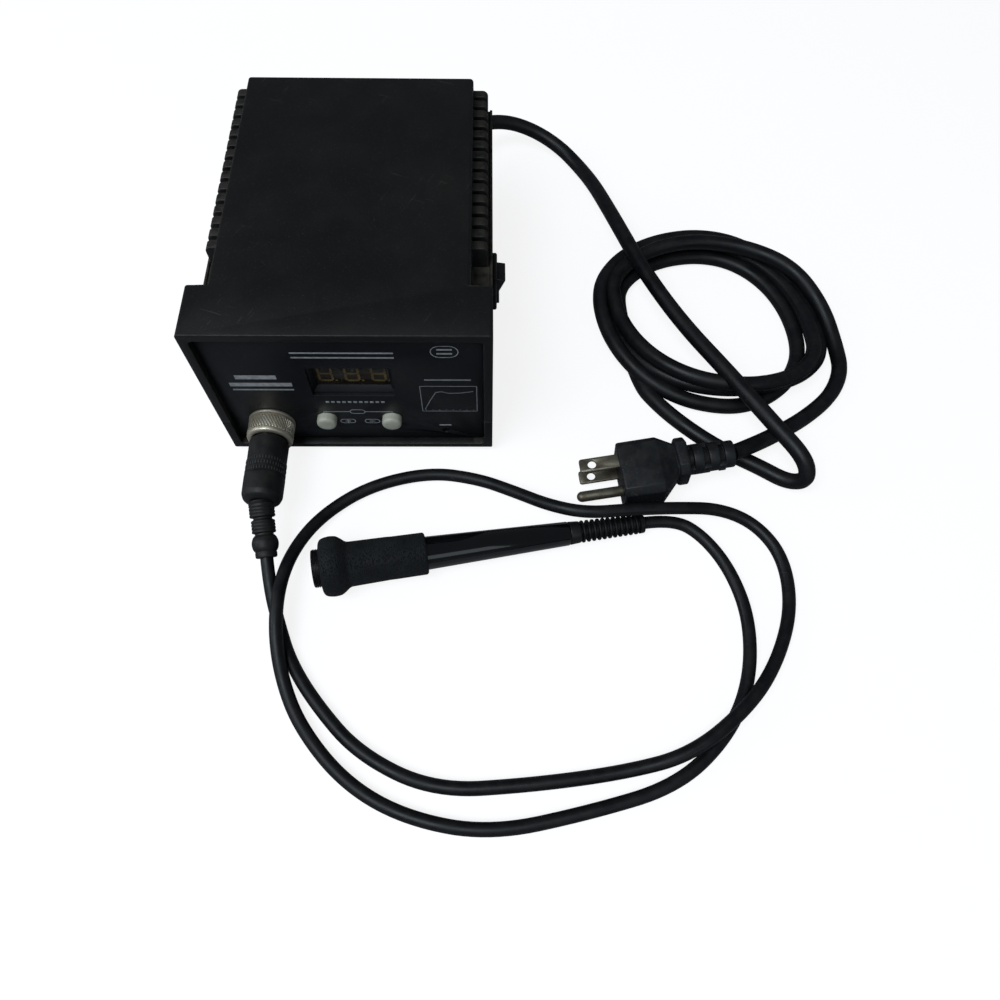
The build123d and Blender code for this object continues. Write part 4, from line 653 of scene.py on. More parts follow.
# ---------------------------------------------------------------- finishes
@dataclass(frozen=True)
class Finish:
    """A moulded, rubbery or metal finish with grain, wear, dust and scratches."""

    name: str
    base: Colour
    mottled: Colour
    roughness: float
    roughness_swing: float = 0.10
    metallic: float = 0.0
    grain_scale: float = 1500.0
    mottle_scale: float = 40.0
    relief: float = 0.00004
    speck_colour: Colour = (0.10, 0.10, 0.10)
    speck_amount: float = 0.0
    wear_colour: Colour = (0.14, 0.135, 0.125)
    wear_amount: float = 0.0
    wear_width: float = 0.0006
    dust_colour: Colour = (0.13, 0.115, 0.09)
    dust_amount: float = 0.0
    dust_scale: float = 90.0
    ledge_height: float = -1.0
    ledge_amount: float = 0.0
    side_start: float = 10.0
    scratch_colour: Colour = (0.20, 0.20, 0.19)
    scratch_amount: float = 0.0
    scratch_scale: float = 60.0
    coat: float = 0.0
    sheen: float = 0.0
    specular: float = 0.5

    def build(self, groups: GroupShop) -> bpy.types.Material:
        """Builds the material.

        Args:
            groups: The shared shader groups.

        Returns:
            The material.
        """
        material = bpy.data.materials.new(self.name)
        material.use_nodes = True
        sheet = ShaderSheet(material.node_tree)
        shader = material.node_tree.nodes["Principled BSDF"]
        grain = sheet.node("ShaderNodeGroup", node_tree=groups.grain)
        grain.inputs["Grain Scale"].default_value = self.grain_scale
        grain.inputs["Mottle Scale"].default_value = self.mottle_scale
        mottle = sheet.ramp(grain.outputs["Mottle"], 0.3, 0.7)
        colour = sheet.mix(mottle, self.base, self.mottled)
        rough = sheet.maths("MULTIPLY", mottle, self.roughness_swing)
        rough = sheet.maths("ADD", rough, self.roughness)
        height = sheet.maths("MULTIPLY", grain.outputs["Height"], 1.0)
        if self.speck_amount:
            share = sheet.maths("MULTIPLY", grain.outputs["Specks"], self.speck_amount)
            colour = sheet.mix(share, colour, self.speck_colour)
        if self.scratch_amount:
            marks = sheet.node("ShaderNodeGroup", node_tree=groups.scratches)
            marks.inputs["Scale"].default_value = self.scratch_scale
            share = sheet.maths("MULTIPLY", marks.outputs["Mask"], self.scratch_amount)
            colour = sheet.mix(share, colour, self.scratch_colour)
            rough = sheet.maths("ADD", rough, sheet.maths("MULTIPLY", share, 0.3))
            height = sheet.maths("SUBTRACT", height, share)
        # Edge colour: wear, and on the housing also a painted highlight on rounded edges.
        if self.wear_amount:
            worn = sheet.node("ShaderNodeGroup", node_tree=groups.wear)
            worn.inputs["Width"].default_value = self.wear_width
            share = sheet.maths("MULTIPLY", worn.outputs["Mask"], self.wear_amount)
            colour = sheet.mix(share, colour, self.wear_colour)
        if self.dust_amount or self.ledge_amount:
            dust = sheet.node("ShaderNodeGroup", node_tree=groups.dust)
            dust.inputs["Scale"].default_value = self.dust_scale
            dust.inputs["Ledge Height"].default_value = self.ledge_height
            dust.inputs["Side Start"].default_value = self.side_start
            film = sheet.maths("MULTIPLY", dust.outputs["Film"], self.dust_amount)
            pooled = sheet.maths("MULTIPLY", dust.outputs["Ledge"], self.ledge_amount)
            share = sheet.maths("MAXIMUM", film, pooled, True)
            colour = sheet.mix(share, colour, self.dust_colour)
            rough = sheet.maths("ADD", rough, sheet.maths("MULTIPLY", share, 0.35), True)
        bump = sheet.node("ShaderNodeBump", {"Height": height, "Distance": self.relief, "Strength": 1.0})
        links = material.node_tree.links
        links.new(colour, shader.inputs["Base Color"])
        links.new(rough, shader.inputs["Roughness"])
        links.new(bump.outputs[0], shader.inputs["Normal"])
        shader.inputs["Metallic"].default_value = self.metallic
        shader.inputs["Coat Weight"].default_value = self.coat
        shader.inputs["Coat Roughness"].default_value = 0.06
        shader.inputs["Sheen Weight"].default_value = self.sheen
        shader.inputs["Specular IOR Level"].default_value = self.specular
        return material


@dataclass(frozen=True)
class FoamFinish:
    """Closed-cell foam: fine open pores darkened in their pits as painted shade, a soft bluish black and paler rubbed
    patches.
    """

    name: str = "grip_foam"
    base: Colour = (0.0050, 0.0064, 0.0090)
    rubbed: Colour = (0.0150, 0.0180, 0.0190)
    pore_shade: Colour = (0.0016, 0.0020, 0.0028)
    fleck: Colour = (0.042, 0.050, 0.052)
    cell_scale: float = 1150.0
    relief: float = 0.00030

    def build(self, groups: GroupShop) -> bpy.types.Material:
        """Builds the material.

        Args:
            groups: The shared shader groups.

        Returns:
            The material.
        """
        material = bpy.data.materials.new(self.name)
        material.use_nodes = True
        sheet = ShaderSheet(material.node_tree)
        shader = material.node_tree.nodes["Principled BSDF"]
        where = sheet.node("ShaderNodeTexCoord").outputs["Object"]
        cells = sheet.node("ShaderNodeTexVoronoi", {"Vector": where, "Scale": self.cell_scale}).outputs["Distance"]
        grain = sheet.node("ShaderNodeGroup", node_tree=groups.grain)
        grain.inputs["Grain Scale"].default_value = 2600.0
        grain.inputs["Mottle Scale"].default_value = 75.0
        pores = sheet.ramp(cells, 0.05, 0.55)
        patches = sheet.ramp(grain.outputs["Mottle"], 0.36, 0.68)
        colour = sheet.mix(patches, self.base, self.rubbed)
        flecks = sheet.maths("MULTIPLY", grain.outputs["Specks"], 0.45)
        colour = sheet.mix(flecks, colour, self.fleck)
        # Painted shade: the pit at the middle of each cell is darkened towards the pore colour.
        colour = sheet.mix(pores, self.pore_shade, colour)
        height = sheet.maths("ADD", pores, sheet.maths("MULTIPLY", grain.outputs["Height"], 0.6))
        bump = sheet.node("ShaderNodeBump", {"Height": height, "Distance": self.relief, "Strength": 1.0})
        rough = sheet.maths("ADD", sheet.maths("MULTIPLY", patches, 0.10), 0.66)
        links = material.node_tree.links
        links.new(colour, shader.inputs["Base Color"])
        links.new(rough, shader.inputs["Roughness"])
        links.new(bump.outputs[0], shader.inputs["Normal"])
        shader.inputs["Sheen Weight"].default_value = 0.02
        shader.inputs["Sheen Roughness"].default_value = 0.6
        shader.inputs["Specular IOR Level"].default_value = 0.25
        return material


FINISHES = (
    # The housing's pale broken edges are partly wear and partly a painted highlight on its rounded edges.
    Finish("housing_black", (0.0068, 0.0066, 0.0068), (0.0105, 0.0098, 0.0094), 0.44, 0.10, grain_scale=1900.0,
           mottle_scale=14.0, relief=0.00005, speck_colour=(0.055, 0.050, 0.046), speck_amount=0.40,
           wear_colour=(0.120, 0.115, 0.100), wear_amount=0.85, wear_width=0.0008, dust_amount=0.035,
           dust_scale=60.0, ledge_height=0.070, ledge_amount=0.62, side_start=0.0514, dust_colour=(0.110, 0.096, 0.074),
           scratch_colour=(0.20, 0.195, 0.18), scratch_amount=0.16, scratch_scale=55.0, specular=0.36),
    Finish("panel_black", (0.0052, 0.0062, 0.0088), (0.0075, 0.0086, 0.0115), 0.36, 0.10, grain_scale=2600.0,
           relief=0.000012, specular=0.35, dust_amount=0.03, scratch_amount=0.12, speck_colour=(0.10, 0.10, 0.11),
           speck_amount=0.12),
    Finish("panel_ink", (0.50, 0.51, 0.53), (0.34, 0.35, 0.37), 0.50, 0.10, grain_scale=2600.0, relief=0.00001,
           mottle_scale=500.0),
    Finish("panel_ink_dim", (0.34, 0.35, 0.37), (0.24, 0.25, 0.27), 0.50, 0.10, grain_scale=2600.0, relief=0.00001,
           mottle_scale=500.0),
    # The display resin's pale scratch lines are partly scratches and partly painted glints.
    Finish("display_resin", (0.016, 0.011, 0.007), (0.030, 0.020, 0.011), 0.20, 0.16, grain_scale=900.0,
           mottle_scale=160.0, relief=0.00001, scratch_amount=0.5, scratch_colour=(0.11, 0.10, 0.08), coat=0.4),
    Finish("display_segment", (0.21, 0.145, 0.050), (0.12, 0.085, 0.035), 0.35, 0.10, mottle_scale=300.0,
           relief=0.00001),
    Finish("button_cream", (0.60, 0.60, 0.50), (0.50, 0.50, 0.40), 0.34, 0.14, grain_scale=1200.0, relief=0.00001,
           mottle_scale=180.0, wear_colour=(0.36, 0.35, 0.27), wear_amount=0.35, speck_colour=(0.25, 0.23, 0.18),
           speck_amount=0.15, coat=0.15),
    Finish("switch_black", (0.010, 0.010, 0.010), (0.016, 0.016, 0.016), 0.30, 0.12, grain_scale=1500.0,
           relief=0.00002, wear_colour=(0.09, 0.09, 0.085), wear_amount=0.35, dust_amount=0.08, coat=0.1),
    Finish("trimmer_blue", (0.03, 0.09, 0.34), (0.04, 0.11, 0.40), 0.4, relief=0.00001),
    Finish("brass_contact", (0.62, 0.46, 0.22), (0.52, 0.38, 0.18), 0.3, 0.12, metallic=1.0, relief=0.00001),
    Finish("board_green", (0.010, 0.075, 0.028), (0.014, 0.095, 0.035), 0.35, grain_scale=600.0, relief=0.00001),
    Finish("steel_plated", (0.60, 0.60, 0.57), (0.48, 0.48, 0.45), 0.32, 0.16, metallic=1.0, relief=0.00001),
    Finish("nickel", (0.74, 0.69, 0.58), (0.58, 0.52, 0.41), 0.34, 0.14, metallic=0.78, grain_scale=2400.0,
           mottle_scale=260.0, relief=0.000012, wear_colour=(0.88, 0.84, 0.74), wear_amount=0.7, wear_width=0.0003,
           dust_colour=(0.16, 0.12, 0.07), dust_amount=0.16, dust_scale=260.0),
    Finish("rubber_black", (0.0062, 0.0064, 0.0072), (0.0105, 0.0104, 0.0108), 0.46, 0.12, specular=0.4,
           grain_scale=1700.0,
           mottle_scale=130.0, relief=0.00003, wear_colour=(0.11, 0.105, 0.095), wear_amount=0.5, wear_width=0.0004,
           dust_colour=(0.060, 0.050, 0.038), dust_amount=0.22, dust_scale=240.0),
    # The pale rubber of the raised sleeve pads is a painted highlight.
    Finish("rubber_pad_highlight", (0.055, 0.058, 0.062), (0.030, 0.031, 0.033), 0.46, 0.12, mottle_scale=400.0,
           relief=0.00002),
    Finish("handle_gloss", (0.0030, 0.0032, 0.0042), (0.0045, 0.0048, 0.0060), 0.08, 0.05, specular=0.42,
           grain_scale=700.0,
           relief=0.000006, scratch_amount=0.12, scratch_scale=120.0, coat=0.7),
    Finish("collar_black", (0.0055, 0.0055, 0.0060), (0.0090, 0.0090, 0.0095), 0.36, 0.10, relief=0.00002,
           wear_colour=(0.07, 0.07, 0.07), wear_amount=0.4, wear_width=0.0003),
    Finish("core_steel", (0.12, 0.12, 0.12), (0.17, 0.165, 0.16), 0.45, 0.15, metallic=0.9, grain_scale=400.0),
    Finish("copper_winding", (0.42, 0.19, 0.07), (0.50, 0.25, 0.10), 0.35, 0.12, metallic=0.8, grain_scale=900.0),
    Finish("cord_pvc", (0.0045, 0.0050, 0.0066), (0.0075, 0.0080, 0.0098), 0.36, 0.14, grain_scale=1300.0,
           mottle_scale=70.0, relief=0.000014, specular=0.34, dust_colour=(0.060, 0.056, 0.050), dust_amount=0.14,
           dust_scale=170.0,
           scratch_amount=0.10, scratch_scale=140.0),
    Finish("plug_pvc", (0.0060, 0.0070, 0.0092), (0.0105, 0.0118, 0.0148), 0.40, 0.12, specular=0.4, grain_scale=1500.0,
           mottle_scale=90.0, relief=0.000025, wear_colour=(0.085, 0.09, 0.095), wear_amount=0.55, wear_width=0.0005,
           speck_colour=(0.12, 0.12, 0.12), speck_amount=0.16, dust_amount=0.10, dust_scale=200.0,
           scratch_amount=0.5, scratch_scale=160.0),
    Finish("brass_blade", (0.33, 0.30, 0.235), (0.15, 0.125, 0.09), 0.34, 0.20, metallic=0.85, grain_scale=1300.0,
           mottle_scale=230.0, relief=0.00002, wear_colour=(0.62, 0.57, 0.46), wear_amount=0.6, wear_width=0.0003,
           scratch_amount=0.4, scratch_scale=200.0),
    Finish("feet_rubber", (0.018, 0.018, 0.018), (0.028, 0.028, 0.028), 0.75, relief=0.00004),
)


class FinishBook:
    """Builds every finish and hands them out by name."""

    def __init__(self) -> None:
        """Builds the groups and all materials."""
        groups = GroupShop()
        self.materials = {f.name: f.build(groups) for f in (*FINISHES, FoamFinish())}

    def __getitem__(self, name: str) -> bpy.types.Material:
        """Returns the material of that name."""
        return self.materials[name]


# ---------------------------------------------------------------- stage
@dataclass
class Studio:
    """Camera, pale floor and soft lights."""

    eye: Point = (58.2, -261.0, 329.6)
    yaw: float = 1.87
    pitch_down: float = 63.78
    roll: float = 1.69
    lens: float = 28.77
    sensor: float = 36.0
    floor_half: float = 4000.0
    room_glow: float = 0.09
    paper_glow: float = 0.85
    daylight: Colour = (0.86, 0.94, 1.0)

    def build(self) -> None:
        """Makes the camera, the world, the lights and the floor."""
        self.camera()
        self.world()
        self.floor()
        self.softbox("ceiling_light", (-500.0, -700.0, 1500.0), 900.0, 15.0)
        self.softbox("window_light", (-1300.0, -100.0, 700.0), 700.0, 4.0)
        self.softbox("front_fill", (700.0, -1300.0, 900.0), 700.0, 1.2)

    def camera(self) -> None:
        """Makes the camera from its yaw, its pitch and its roll."""
        yaw, pitch, roll = (math.radians(a) for a in (self.yaw, self.pitch_down, self.roll))
        ahead = Vector((math.sin(yaw) * math.cos(pitch), math.cos(yaw) * math.cos(pitch), -math.sin(pitch)))
        right = Vector((math.cos(yaw), -math.sin(yaw), 0.0))
        up = right.cross(ahead)
        turned_right = right * math.cos(roll) + up * math.sin(roll)
        turned_up = up * math.cos(roll) - right * math.sin(roll)
        placed_at = Matrix((turned_right, turned_up, -ahead)).transposed().to_4x4()
        placed_at.translation = Vector(self.eye) * MM
        data = bpy.data.cameras.new("bench_camera")
        data.lens, data.sensor_width = self.lens, self.sensor
        data.clip_start, data.clip_end = 0.01, 30.0
        camera = bpy.data.objects.new("bench_camera", data)
        camera.matrix_world = placed_at
        bpy.context.scene.collection.objects.link(camera)
        bpy.context.scene.camera = camera

    def world(self) -> None:
        """Makes a surround that looks pale and lights dimly, as a white sweep in a dark room does."""
        world = bpy.data.worlds.new("surround")
        world.use_nodes = True
        sheet = ShaderSheet(world.node_tree)
        background = world.node_tree.nodes["Background"]
        background.inputs[0].default_value = (0.80, 0.90, 1.0, 1.0)
        seen = sheet.node("ShaderNodeLightPath").outputs["Is Camera Ray"]
        strength = sheet.maths("ADD", sheet.maths("MULTIPLY", seen, 1.0 - self.room_glow), self.room_glow)
        world.node_tree.links.new(strength, background.inputs[1])
        bpy.context.scene.world = world
        bpy.context.scene.view_settings.view_transform = "Standard"

    def softbox(self, name: str, at: Point, size: float, watts: float) -> None:
        """Makes one square area light that looks at the object.

        Args:
            name: The light's name.
            at: Its place in millimetres.
            size: Its side in millimetres.
            watts: Its power.
        """
        data = bpy.data.lights.new(name, "AREA")
        data.shape, data.size, data.energy = "SQUARE", size * MM, watts
        data.color = self.daylight
        lamp = bpy.data.objects.new(name, data)
        lamp.location = Vector(at) * MM
        lamp.rotation_euler = (Vector((0.06, -0.05, 0.02)) - lamp.location).to_track_quat("-Z", "Y").to_euler()
        bpy.context.scene.collection.objects.link(lamp)

    def floor(self) -> None:
        """Makes the bench top as one pale sheet."""
        half = self.floor_half * MM
        mesh = bpy.data.meshes.new("bench_top")
        low = -0.0002
        corners = [(-half, -half, low), (half, -half, low), (half, half, low), (-half, half, low)]
        mesh.from_pydata(corners, [], [(0, 1, 2, 3)])
        material = bpy.data.materials.new("bench_paper")
        material.use_nodes = True
        shader = material.node_tree.nodes["Principled BSDF"]
        shader.inputs["Base Color"].default_value = (0.30, 0.30, 0.31, 1.0)
        shader.inputs["Roughness"].default_value = 0.9
        shader.inputs["Specular IOR Level"].default_value = 0.1
        shader.inputs["Emission Color"].default_value = (1.0, 1.0, 1.0, 1.0)
        sheet = ShaderSheet(material.node_tree)
        seen = sheet.node("ShaderNodeLightPath").outputs["Is Camera Ray"]
        glow = sheet.maths("MULTIPLY", seen, self.paper_glow)
        material.node_tree.links.new(glow, shader.inputs["Emission Strength"])
        new_object("bench_top", mesh, material)


# ---------------------------------------------------------------- cords
def spline_curve(name: str, points: Sequence[Point], diameter: float, material: bpy.types.Material) -> bpy.types.Object:
    """Makes a round cord along one smooth spline.

    Args:
        name: The cord's name.
        points: Its control points in millimetres.
        diameter: Its diameter in millimetres.
        material: Its material.

    Returns:
        The curve object.
    """
    data = bpy.data.curves.new(name, "CURVE")
    data.dimensions = "3D"
    data.resolution_u = 10
    data.bevel_depth = diameter / 2 * MM
    data.bevel_resolution = 5
    data.use_fill_caps = True
    line = data.splines.new("NURBS")
    line.points.add(len(points) - 1)
    for slot, place in zip(line.points, points):
        slot.co = (*(c * MM for c in place), 1.0)
    line.order_u = 3
    line.use_endpoint_u = True
    data.materials.append(material)
    curve = bpy.data.objects.new(name, data)
    bpy.context.scene.collection.objects.link(curve)
    return curve


@dataclass
class IronCord:
    """The iron's limp cord, from the connector's strain relief round two loops to the handle."""

    diameter: float = 5.6
    length: float = 975.0
    straight_out: float = 13.0
    iron_gap: float = 0.5
    route: list[Point] = field(default_factory=lambda: [
        (-30.0, -159.0, 3.2),
        (-23.5, -175.0, 3.0),
        (-11.5, -192.0, 3.0),
        (7.0, -211.5, 3.0),
        (37.0, -225.5, 3.0),
        (74.0, -223.5, 3.0),
        (111.0, -219.0, 3.0),
        (138.0, -213.0, 8.5),
        (163.0, -194.0, 10.0),
        (179.0, -174.0, 4.0),
        (188.5, -151.0, 3.0),
        (188.5, -128.0, 3.0),
        (178.5, -112.5, 3.5),
        (162.5, -106.0, 6.0),
        (141.0, -108.5, 12.0),
        (120.0, -110.5, 14.5),
        (101.0, -112.5, 15.2),
        (85.0, -107.5, 12.5),
        (70.5, -98.0, 6.5),
        (53.5, -89.5, 3.2),
        (31.0, -86.0, 3.0),
        (4.0, -93.0, 3.0),
        (-15.5, -107.0, 3.2),
        (-25.5, -124.0, 7.5),
        (-29.5, -143.0, 12.5),
        (-29.5, -163.0, 11.5),
        (-26.0, -182.0, 5.0),
        (-17.0, -201.0, 3.0),
        (2.0, -222.0, 3.0),
        (26.0, -235.0, 3.0),
        (58.5, -241.0, 3.0),
        (97.0, -233.5, 3.0),
        (132.0, -224.0, 3.0),
        (154.5, -204.5, 3.0),
        (166.0, -183.0, 3.0),
        (169.5, -157.0, 3.0),
        (164.5, -135.0, 3.0),
        (154.5, -118.5, 3.0),
        (141.8, -110.4, 4.2),
    ])

    def build(self, book: FinishBook, relief: LocalAxis, relief_length: float, iron: LocalAxis) -> None:
        """Lays the cord.

        Args:
            book: The materials.
            relief: The axis of the connector's strain relief.
            relief_length: How far that relief reaches, in millimetres.
            iron: The handle's axis, from its cord end.
        """
        start = relief.at(relief_length)
        points = [start, relief.at(relief_length + self.straight_out), *self.route, iron.at(-self.iron_gap)]
        cord = spline_curve("iron_flex", points, self.diameter, book["cord_pvc"])
        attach(cord, "root")
        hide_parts("iron_cord")
        LOG.info("iron_flex: %d points", len(points))


@dataclass
class MainsCord:
    """The mains lead: over the coil, a tight fold, three and a half loose turns, and the tail to the plug."""

    diameter: float = 7.5
    length: float = 1670.0
    points_per_quarter: int = 4
    exit: Point = (36.0, 90.5, 22.0)
    lead: list[Point] = field(default_factory=lambda: [
        (36.0, 99.5, 22.0),
        (42.0, 114.5, 21.8),
        (53.0, 126.5, 20.5),
        (68.0, 132.5, 17.5),
        (84.0, 131.5, 12.5),
        (99.0, 124.0, 7.5),
        (110.0, 110.5, 5.0),
        (116.5, 92.5, 9.0),
        (121.0, 70.0, 16.0),
        (126.5, 46.0, 21.5),
        (136.0, 19.0, 21.5),
        (152.5, -12.5, 19.5),
        (171.0, -43.5, 21.5),
        (188.0, -71.0, 21.0),
        (199.5, -87.5, 19.8),
        (202.5, -94.5, 12.0),
        (196.5, -92.0, 4.4),
        (183.5, -83.0, 4.0),
        (168.0, -74.5, 4.0),
        (154.0, -63.5, 4.0),
        (141.5, -51.0, 4.0),
        (131.0, -36.0, 4.0),
    ])
    # Where each half turn is furthest left, back, right and front, in that order
    coil_stations: list[Point] = field(default_factory=lambda: [
        (124.5, 13.0, 4.0),
        (171.7, 45.3, 4.0),
        (214.8, -10.3, 4.0),
        (172.5, -51.1, 4.0),
        (113.8, 9.0, 11.0),
        (170.9, 52.7, 11.2),
        (226.0, -11.5, 4.2),
        (171.7, -45.0, 10.5),
        (118.5, 13.0, 4.2),
        (172.5, 52.4, 4.0),
        (220.0, -15.7, 11.0),
        (176.8, -47.2, 17.4),
        (120.8, 14.3, 11.6),
        (168.6, 43.5, 17.0),
        (233.5, -16.5, 4.0),
    ])
    tail: list[Point] = field(default_factory=lambda: [
        (233.0, -30.0, 4.0),
        (225.0, -44.5, 4.0),
        (210.0, -57.0, 4.0),
        (195.0, -66.5, 6.0),
        (181.5, -76.0, 12.5),
    ])

    def coil(self) -> list[Point]:
        """Returns the turns' points: a quarter of an ellipse from each station to the next."""
        made = [self.coil_stations[0]]
        stations = list(zip(self.coil_stations, self.coil_stations[1:]))
        for index, (here, there) in enumerate(stations):
            upright = index % 2 == 0
            last = index == len(stations) - 1
            for step in range(1, self.points_per_quarter + 1):
                t = step / self.points_per_quarter
                rise, run = math.sin(t * math.pi / 2), 1 - math.cos(t * math.pi / 2)
                share_x, share_y = (run, rise) if upright else (rise, run)
                fall = min(max((t - 0.45) / 0.55, 0.0), 1.0) if last else t
                fall = fall * fall * (3 - 2 * fall)
                made.append((
                    here[0] + (there[0] - here[0]) * share_x,
                    here[1] + (there[1] - here[1]) * share_y,
                    here[2] + (there[2] - here[2]) * fall,
                ))
        return made

    def build(self, book: FinishBook, plug_end: Point, on_cord: Sequence[bpy.types.Object]) -> None:
        """Lays the cord.

        Args:
            book: The materials.
            plug_end: Where it enters the plug's strain relief, in millimetres.
            on_cord: The pieces on it; not used.
        """
        points = [self.exit, *self.lead, *self.coil(), *self.tail, plug_end]
        cord = spline_curve("mains_flex", points, self.diameter, book["cord_pvc"])
        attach(cord, "root")
        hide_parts("mains_lead", "mains_coil", "mains_tail")
        LOG.info("mains_flex: %d points", len(points))


# ---------------------------------------------------------------- housing
@dataclass
class Housing:
    """Cover, base, feet and case screws."""

    edge: float = 0.35

    def build(self, book: FinishBook) -> None:
        """Rounds and dresses the shells, the feet and the screws."""
        black = book["housing_black"]
        finish_piece("cover_shell", softened("top_cover", self.edge), black, "root", ["top_cover"])
        finish_piece("base_tray", softened("base_shell", self.edge), black, "root", ["base_shell"])
        finish_piece("foot_pads", softened("rubber_feet", 0.6), book["feet_rubber"], "root",
                     ["rubber_feet"])
        dress_node("case_screws", book["steel_plated"])


# ---------------------------------------------------------------- front panel
class Segment(Enum):
    """The seven bars of a digit: middle across, middle up, and whether it stands upright."""

    TOP = (0.0, 1.0, False)
    MIDDLE = (0.0, 0.0, False)
    BOTTOM = (0.0, -1.0, False)
    UPPER_LEFT = (-1.0, 0.5, True)
    UPPER_RIGHT = (1.0, 0.5, True)
    LOWER_LEFT = (-1.0, -0.5, True)
    LOWER_RIGHT = (1.0, -0.5, True)


@dataclass
class Digits:
    """Three unlit seven-segment digits and their points on the display module."""

    count: int = 3
    pitch: float = 11.2
    width: float = 5.5
    height: float = 9.7
    bar: float = 1.05
    gap: float = 0.10
    lean: float = 0.0
    proud: float = 0.05
    point_radius: float = 0.6

    def bar_outline(self, segment: Segment) -> list[tuple[float, float]]:
        """Returns one bar's six corners about the digit's middle, across and up."""
        across, up, upright = segment.value
        length = (self.height / 2 if upright else self.width) / 2 - self.gap
        half = self.bar / 2
        corners = [(-length, 0), (-length + half, -half), (length - half, -half),
                   (length, 0), (length - half, half), (-length + half, half)]
        middle = (across * self.width / 2, up * self.height / 2)
        if upright:
            corners = [(-v, u) for u, v in corners]
        return [(middle[0] + u, middle[1] + v) for u, v in corners]

    def build(self, book: FinishBook) -> None:
        """Makes all bars and points as one piece in front of the module."""
        low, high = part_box("led_display")
        middle = (low + high) / 2 / MM
        face = low.y / MM
        made = bmesh.new()
        for index in range(self.count):
            start = middle.x + (index - (self.count - 1) / 2) * self.pitch
            outlines = [self.bar_outline(s) for s in Segment]
            dot = (self.width / 2 + 1.5, -self.height / 2)
            ring = [i * math.pi / 6 for i in range(12)]
            outlines.append([(dot[0] + self.point_radius * math.cos(a),
                              dot[1] + self.point_radius * math.sin(a)) for a in ring])
            for outline in outlines:
                add_flat_prism(made, [(start + u + v * self.lean, middle.z + v) for u, v in outline], face, self.proud)
        finish_piece("digit_bars", mesh_from(made, "digit_bars"), book["display_segment"], "root")


def add_flat_prism(made: bmesh.types.BMesh, outline: Sequence[tuple[float, float]], face: float, proud: float) -> None:
    """Adds a thin prism that stands out of a face towards -Y.

    Args:
        made: The mesh to add to.
        outline: Its corners across (X) and up (Z), anticlockwise from the front, in millimetres.
        face: The Y of the face that it lies on.
        proud: How far it stands out.
    """
    front = [made.verts.new(Vector((x, face - proud, z)) * MM) for x, z in outline]
    back = [made.verts.new(Vector((x, face, z)) * MM) for x, z in outline]
    made.faces.new(front)
    made.faces.new(list(reversed(back)))
    for i in range(len(outline)):
        j = (i + 1) % len(outline)
        made.faces.new((front[j], front[i], back[i], back[j]))


def mesh_from(made: bmesh.types.BMesh, name: str) -> bpy.types.Mesh:
    """Ends a bmesh as a mesh whose faces point outwards."""
    bmesh.ops.recalc_face_normals(made, faces=made.faces)
    mesh = bpy.data.meshes.new(name)
    made.to_mesh(mesh)
    made.free()
    return mesh


